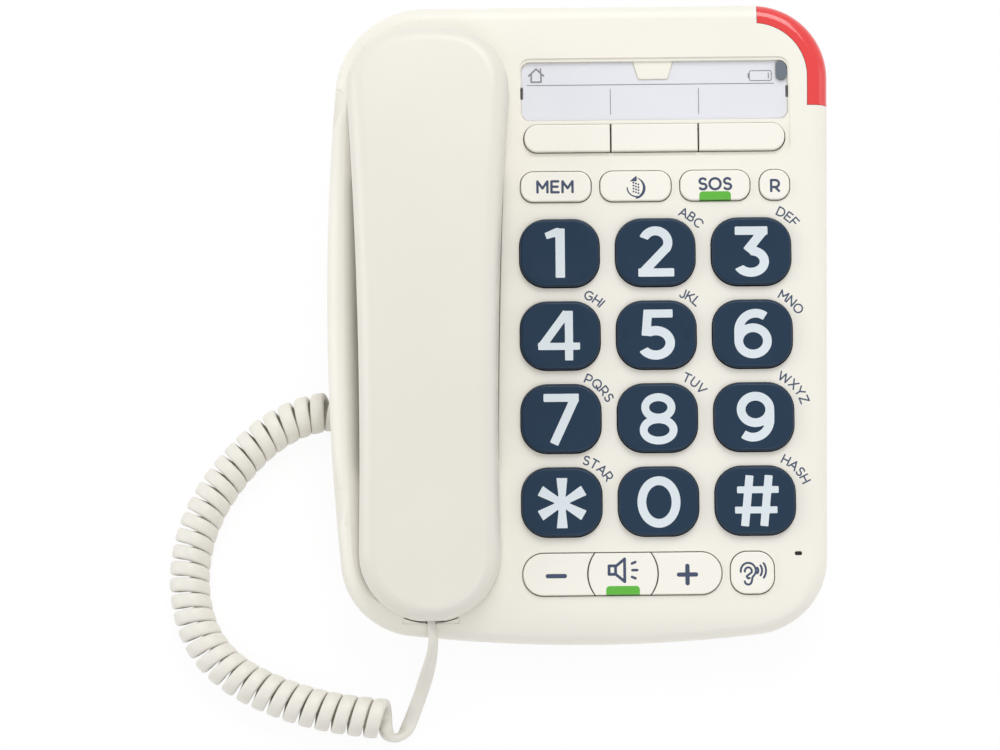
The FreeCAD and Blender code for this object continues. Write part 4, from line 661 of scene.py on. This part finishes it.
# The box and the grid that a digit is cut in, and how far it stands from its key's middle
DIGIT_BOX = (8.5, 9.5)
DIGIT_GRID = 0.3
DIGIT_SHIFTS = {
    "1": (-0.15, -0.15), "2": (0.2, 0.1), "3": (0.1, -0.3), "4": (-0.4, -0.15), "5": (0.15, -0.15),
    "6": (0.1, -0.1), "7": (0.1, -0.15), "8": (0.3, -0.35), "9": (0.5, -0.05), "star": (0.1, -0.35),
    "0": (0.1, -0.3), "hash": (0.5, -0.2),
}


def print_digits():
    material = surface("digit_ink", linear(215, 224, 229), 0.4, bump=0.03)
    rows = ("123", "456", "789", ("star", "0", "hash"))
    shapes = digit_shapes()
    for v, row in zip(KEY_ROWS, rows):
        for u, name in zip(KEY_COLUMNS, row):
            def height(pu, pv, u=u, v=v):
                out = (pu - u) ** 2 + (pv - v) ** 2
                dish = KEY_DISH - KEY_DISH_DEPTH - math.sqrt(KEY_DISH ** 2 - out)
                return KEY_TOP + min(0.0, dish)
            right, up = DIGIT_SHIFTS[name]
            shape = moved(all_of(shapes[name]), u + right, v + up)
            box = box_about(u, v, *DIGIT_BOX)
            printed(f"digit_{name}", f"key_{name}", shape, box, DIGIT_GRID, height, material)


# Letters as thin lines in a box of height 1: the width, then the lines

def curve_points(centre, radii, start, end, steps=18):
    found = []
    for number in range(steps + 1):
        angle = math.radians(start + (end - start) * number / steps)
        found.append((centre[0] + radii[0] * math.cos(angle), centre[1] + radii[1] * math.sin(angle)))
    return found


def letter_lines():
    bowl = curve_points
    return {
        "A": (0.88, [[(0, 0), (0.44, 1), (0.88, 0)], [(0.15, 0.31), (0.73, 0.31)]]),
        "B": (0.66, [
            [(0.36, 0.52), (0, 0.52), (0, 1), *bowl((0.34, 0.76), (0.24, 0.24), 90, -90)],
            [(0, 0.52), (0, 0), *bowl((0.39, 0.26), (0.27, 0.26), -90, 90), (0, 0.52)],
        ]),
        "C": (0.86, [bowl((0.5, 0.5), (0.5, 0.5), 44, 316)]),
        "D": (0.84, [[(0, 1), *bowl((0.34, 0.5), (0.5, 0.5), 90, -90), (0, 0), (0, 1)]]),
        "E": (0.64, [[(0.62, 1), (0, 1), (0, 0), (0.64, 0)], [(0, 0.51), (0.55, 0.51)]]),
        "F": (0.62, [[(0.62, 1), (0, 1), (0, 0)], [(0, 0.48), (0.55, 0.48)]]),
        "G": (0.92, [[*bowl((0.5, 0.5), (0.5, 0.5), 50, 322), (0.9, 0.47), (0.55, 0.47)]]),
        "H": (0.76, [[(0, 0), (0, 1)], [(0.76, 0), (0.76, 1)], [(0, 0.5), (0.76, 0.5)]]),
        "I": (0.02, [[(0, 0), (0, 1)]]),
        "J": (0.5, [[(0.5, 1), *bowl((0.24, 0.27), (0.26, 0.27), 0, -160)]]),
        "K": (0.74, [[(0, 0), (0, 1)], [(0, 0.34), (0.7, 1)], [(0.26, 0.58), (0.74, 0)]]),
        "L": (0.6, [[(0, 1), (0, 0), (0.6, 0)]]),
        "M": (0.9, [[(0, 0), (0, 1), (0.45, 0.36), (0.9, 1), (0.9, 0)]]),
        "N": (0.78, [[(0, 0), (0, 1), (0.78, 0), (0.78, 1)]]),
        "O": (1.0, [bowl((0.5, 0.5), (0.5, 0.5), 0, 360, 30)]),
        "P": (0.7, [[(0, 0), (0, 1), *bowl((0.38, 0.68), (0.32, 0.32), 90, -90), (0, 0.36)]]),
        "Q": (1.0, [bowl((0.5, 0.5), (0.5, 0.5), 0, 360, 30), [(0.56, 0.3), (0.98, -0.05)]]),
        "R": (0.72, [
            [(0, 0), (0, 1), *bowl((0.38, 0.68), (0.32, 0.32), 90, -90), (0, 0.36)],
            [(0.36, 0.36), (0.7, 0)],
        ]),
        "S": (0.66, [[
            *bowl((0.34, 0.755), (0.29, 0.245), 35, 262),
            *bowl((0.34, 0.255), (0.32, 0.255), 80, -145),
        ]]),
        "T": (0.76, [[(0, 1), (0.76, 1)], [(0.38, 1), (0.38, 0)]]),
        "U": (0.76, [[(0, 1), *bowl((0.38, 0.38), (0.38, 0.38), 180, 360), (0.76, 1)]]),
        "V": (0.86, [[(0, 1), (0.43, 0), (0.86, 1)]]),
        "W": (1.32, [[(0, 1), (0.33, 0), (0.66, 1), (0.99, 0), (1.32, 1)]]),
        "X": (0.78, [[(0, 1), (0.78, 0)], [(0, 0), (0.78, 1)]]),
        "Y": (0.84, [[(0, 1), (0.42, 0.46), (0.84, 1)], [(0.42, 0.46), (0.42, 0)]]),
        "Z": (0.72, [[(0, 1), (0.7, 1), (0, 0), (0.72, 0)]]),
    }


LETTERS = letter_lines()


def letter_shape(letter, cap, width):
    """A letter with its middle at nought."""
    wide, lines = LETTERS[letter]
    return all_of([
        pen(width, *[((x - wide / 2) * cap, (y - 0.5) * cap) for x, y in line]) for line in lines
    ])


def word_places(word, cap, gap):
    """The distance of each letter's middle from the word's."""
    widths = [LETTERS[letter][0] * cap for letter in word]
    total = sum(widths) + gap * (len(word) - 1)
    places, here = [], -total / 2
    for width in widths:
        places.append(here + width / 2)
        here += width + gap
    return places


# The words beside the dial keys: each word's column and row, and its middle's distance and direction, in
# degrees, from the centre of the key's upper right bend. Each word is turned a little beyond that.
WORD_RADIUS = 14.0
WORD_CAP = 2.8
WORD_STROKE = 0.5
WORD_GAP = 0.87
WORD_BOX = (7.5, 7.5)
WORD_GRID = 0.14
WORD_TURN = math.radians(4)
WORD_CORNER = (4.45, 2.6)
KEY_WORDS = (
    ("ABC", 1, 0, 12.3, 50.3), ("DEF", 2, 0, 12.4, 49.1), ("GHI", 0, 1, 12.2, 55.1),
    ("JKL", 1, 1, 12.4, 55.2), ("MNO", 2, 1, 12.2, 43.2), ("PQRS", 0, 2, 11.9, 43.0),
    ("TUV", 1, 2, 12.3, 48.1), ("WXYZ", 2, 2, 12.3, 38.9), ("STAR", 0, 3, 12.1, 49.1),
    ("HASH", 2, 3, 12.6, 40.3),
)


def curved_word(word, angle):
    """A word along an arc whose top lies at nought, in the direction of the angle."""
    centre = (-WORD_RADIUS * math.cos(angle), -WORD_RADIUS * math.sin(angle))
    shapes = []
    for letter, along in zip(word, word_places(word, WORD_CAP, WORD_GAP)):
        at = angle - along / WORD_RADIUS
        x, y = centre[0] + WORD_RADIUS * math.cos(at), centre[1] + WORD_RADIUS * math.sin(at)
        shapes.append(moved(letter_shape(letter, WORD_CAP, WORD_STROKE), x, y, at - math.pi / 2))
    return all_of(shapes)


def print_words(ink):
    for word, column, row, out, degrees in KEY_WORDS:
        angle = math.radians(degrees)
        u = KEY_COLUMNS[column] + WORD_CORNER[0] + out * math.cos(angle)
        v = KEY_ROWS[row] + WORD_CORNER[1] + out * math.sin(angle)
        shape = moved(curved_word(word, angle), u, v, WORD_TURN)
        name, box = f"word_{word.lower()}", box_about(u, v, *WORD_BOX)
        printed(name, "base", shape, box, WORD_GRID, flat_at(0.0), ink)


# The words and signs on the small keys
LABEL_CAP = 3.7
LABEL_STROKE = 0.82
LABEL_BOX = (7.5, 6)
LABEL_GRID = 0.13
SIGN_STROKE = 1.43


def straight_word(word, gap):
    places = word_places(word, LABEL_CAP, gap)
    letters = [letter_shape(letter, LABEL_CAP, LABEL_STROKE) for letter in word]
    return all_of([moved(letter, x, 0) for letter, x in zip(letters, places)])


def minus_sign():
    return pen(SIGN_STROKE, (-2.8, 0), (2.8, 0))


def plus_sign():
    return all_of([minus_sign(), pen(SIGN_STROKE, (0, -2.85), (0, 2.85))])


def print_key_labels(ink):
    labels = (
        ("memory_store_key", (-7.65, 46.9), straight_word("MEM", 1.35)),
        ("sos_key", (45.95, 47.4), straight_word("SOS", 1.05)),
        ("recall_key", (66.05, 46.6), straight_word("R", 0)),
        ("redial_key", (19.45, 46.6), redial_icon()),
        ("volume_down_key", (-8.4, -83.25), minus_sign()),
        ("volume_up_key", (34.85, -83.15), plus_sign()),
        ("speaker_key", (13.6, -82.7), speaker_icon()),
        ("boost_key", (56.3, -82.7), ear_icon()),
    )
    for body, (u, v), shape in labels:
        name, box, top = f"label_{body}", box_about(u, v, *LABEL_BOX), flat_at(SMALL_KEY_TOP)
        printed(name, body, moved(shape, u, v), box, LABEL_GRID, top, ink)


def redial_icon():
    crescent = less(disc((-0.45, -0.45), 3.65), disc((-1.25, -0.2), 3.55))
    dots = []
    for column in (-1, 0, 1):
        for row in range(4):
            dots.append(disc((column * 0.83, 1.15 - row - 0.3 * column), 0.32))
    return all_of([
        less(crescent, patch((-6, -6), (-0.1, -6), (-0.1, 6), (-6, 6))),
        patch((-2.1, 1.9), (0.2, 3.85), (0.3, 1.9)),
        pen(0.45, *curve_points((0.25, -0.1), (3.2, 3.2), 184, 278)), *dots,
    ])


def speaker_icon():
    wide = 0.95
    return all_of([
        pen(wide, (-4.6, 2.65), (-2.45, 2.65), (-2.45, -0.15), (-4.6, -0.15), (-4.6, 2.65)),
        pen(wide, (-2.45, 2.4), (0.55, 4.9), (0.55, -2.6), (-2.45, -0.1)),
        pen(0.85, (2.95, 3.35), (4.1, 3.85)), pen(0.85, (3.1, 1.17), (4.7, 1.17)),
        pen(0.85, (2.95, -1.05), (4.1, -1.5)),
    ])


def ear_icon():
    wide = 0.68
    outer = curve_points((-1.38, 0.5), (2.5, 2.7), 185, -5)
    hook = curve_points((-1.45, -2.8), (1.15, 1.15), 0, -175)
    inner = curve_points((-1.38, 0.45), (1.15, 1.25), 185, -20)
    shapes = [
        pen(wide, *outer, (0.75, -0.6), (-0.05, -1.6), (-0.25, -2.8), *hook),
        pen(wide, *inner, (-1.3, -0.7), (-1.95, -1.25), (-1.5, -1.95), (-0.95, -1.8)),
    ]
    for radius in (1.6, 2.85, 4.15):
        shapes.append(pen(wide, *curve_points((0.3, 0.66), (radius, radius), -35, 35)))
    return all_of(shapes)


# Card behind the window: a line across it, two dividers under the line and two signs over it
CARD_TOP = -1.9
CARD_GRID = 0.15
CARD_MARGIN = 1
CARD_LINE = (-16.75, 66.35, 82.1)
CARD_LINE_STROKE = 0.3
CARD_DIVIDERS = (11.25, 40.95)
CARD_DIVIDER_V = (71.9, 80.6)
CARD_DIVIDER_STROKE = 0.28
CARD_DIVIDER_MARGIN = 0.6
HOUSE = (-13.7, 85.5)
HOUSE_BOX = (3.2, 3)
BATTERY = (61.9, 84.75)
BATTERY_BOX = (4.8, 3)


def card_divider(number, u):
    low, high = CARD_DIVIDER_V
    box = ((u - CARD_DIVIDER_MARGIN, u + CARD_DIVIDER_MARGIN), (low - CARD_MARGIN, high + CARD_MARGIN))
    return f"divider_{number}", pen(CARD_DIVIDER_STROKE, (u, low), (u, high)), box


def card_line():
    left, right, v = CARD_LINE
    box = ((left - CARD_MARGIN, right + CARD_MARGIN), (v - CARD_MARGIN, v + CARD_MARGIN))
    return "line", pen(CARD_LINE_STROKE, (left, v), (right, v)), box


def print_card():
    ink = surface("card_ink", linear(92, 94, 104), 0.5)
    marks = [card_line()]
    marks += [card_divider(number, u) for number, u in enumerate(CARD_DIVIDERS, 1)]
    marks.append(("home", moved(house_icon(), *HOUSE), box_about(*HOUSE, *HOUSE_BOX)))
    marks.append(("battery", moved(battery_icon(), *BATTERY), box_about(*BATTERY, *BATTERY_BOX)))
    for name, shape, box in marks:
        printed(f"card_{name}", "base", shape, box, CARD_GRID, flat_at(CARD_TOP), ink)


def house_icon():
    wide = 0.6
    return all_of([
        pen(wide, (-2.5, -0.1), (0, 2.25), (2.5, -0.1)),
        pen(wide, (-1.65, 0.5), (-1.65, -2.25), (1.65, -2.25), (1.65, 0.5)),
        pen(0.5, (1.5, 0.9), (1.5, 2.3)),
    ])


def battery_icon():
    wide = 0.32
    case = []
    for (x, y), start in (((3.1, 1.1), 0), ((-3.1, 1.1), 90), ((-3.1, -1.1), 180), ((3.1, -1.1), 270)):
        case += curve_points((x, y), (0.6, 0.6), start, start + 90, 5)
    return all_of([
        pen(wide, *case, case[0]), pen(0.4, (-4.1, -0.7), (-4.1, 0.7)),
        pen(0.35, (2.7, -0.9), (2.7, 0.9)),
    ])


add_camera()
make_cord()
add_world()
for lamp in LAMPS:
    add_lamp(*lamp)
add_floor()
dress_nodes()
letter_ink = surface("letter_ink", linear(60, 74, 100), 0.5)
label_ink = surface("label_ink", linear(50, 64, 92), 0.5)
print_digits()
print_words(letter_ink)
print_key_labels(label_ink)
print_card()
add_lips()

view_settings = bpy.context.scene.view_settings
view_settings.view_transform = "Standard"
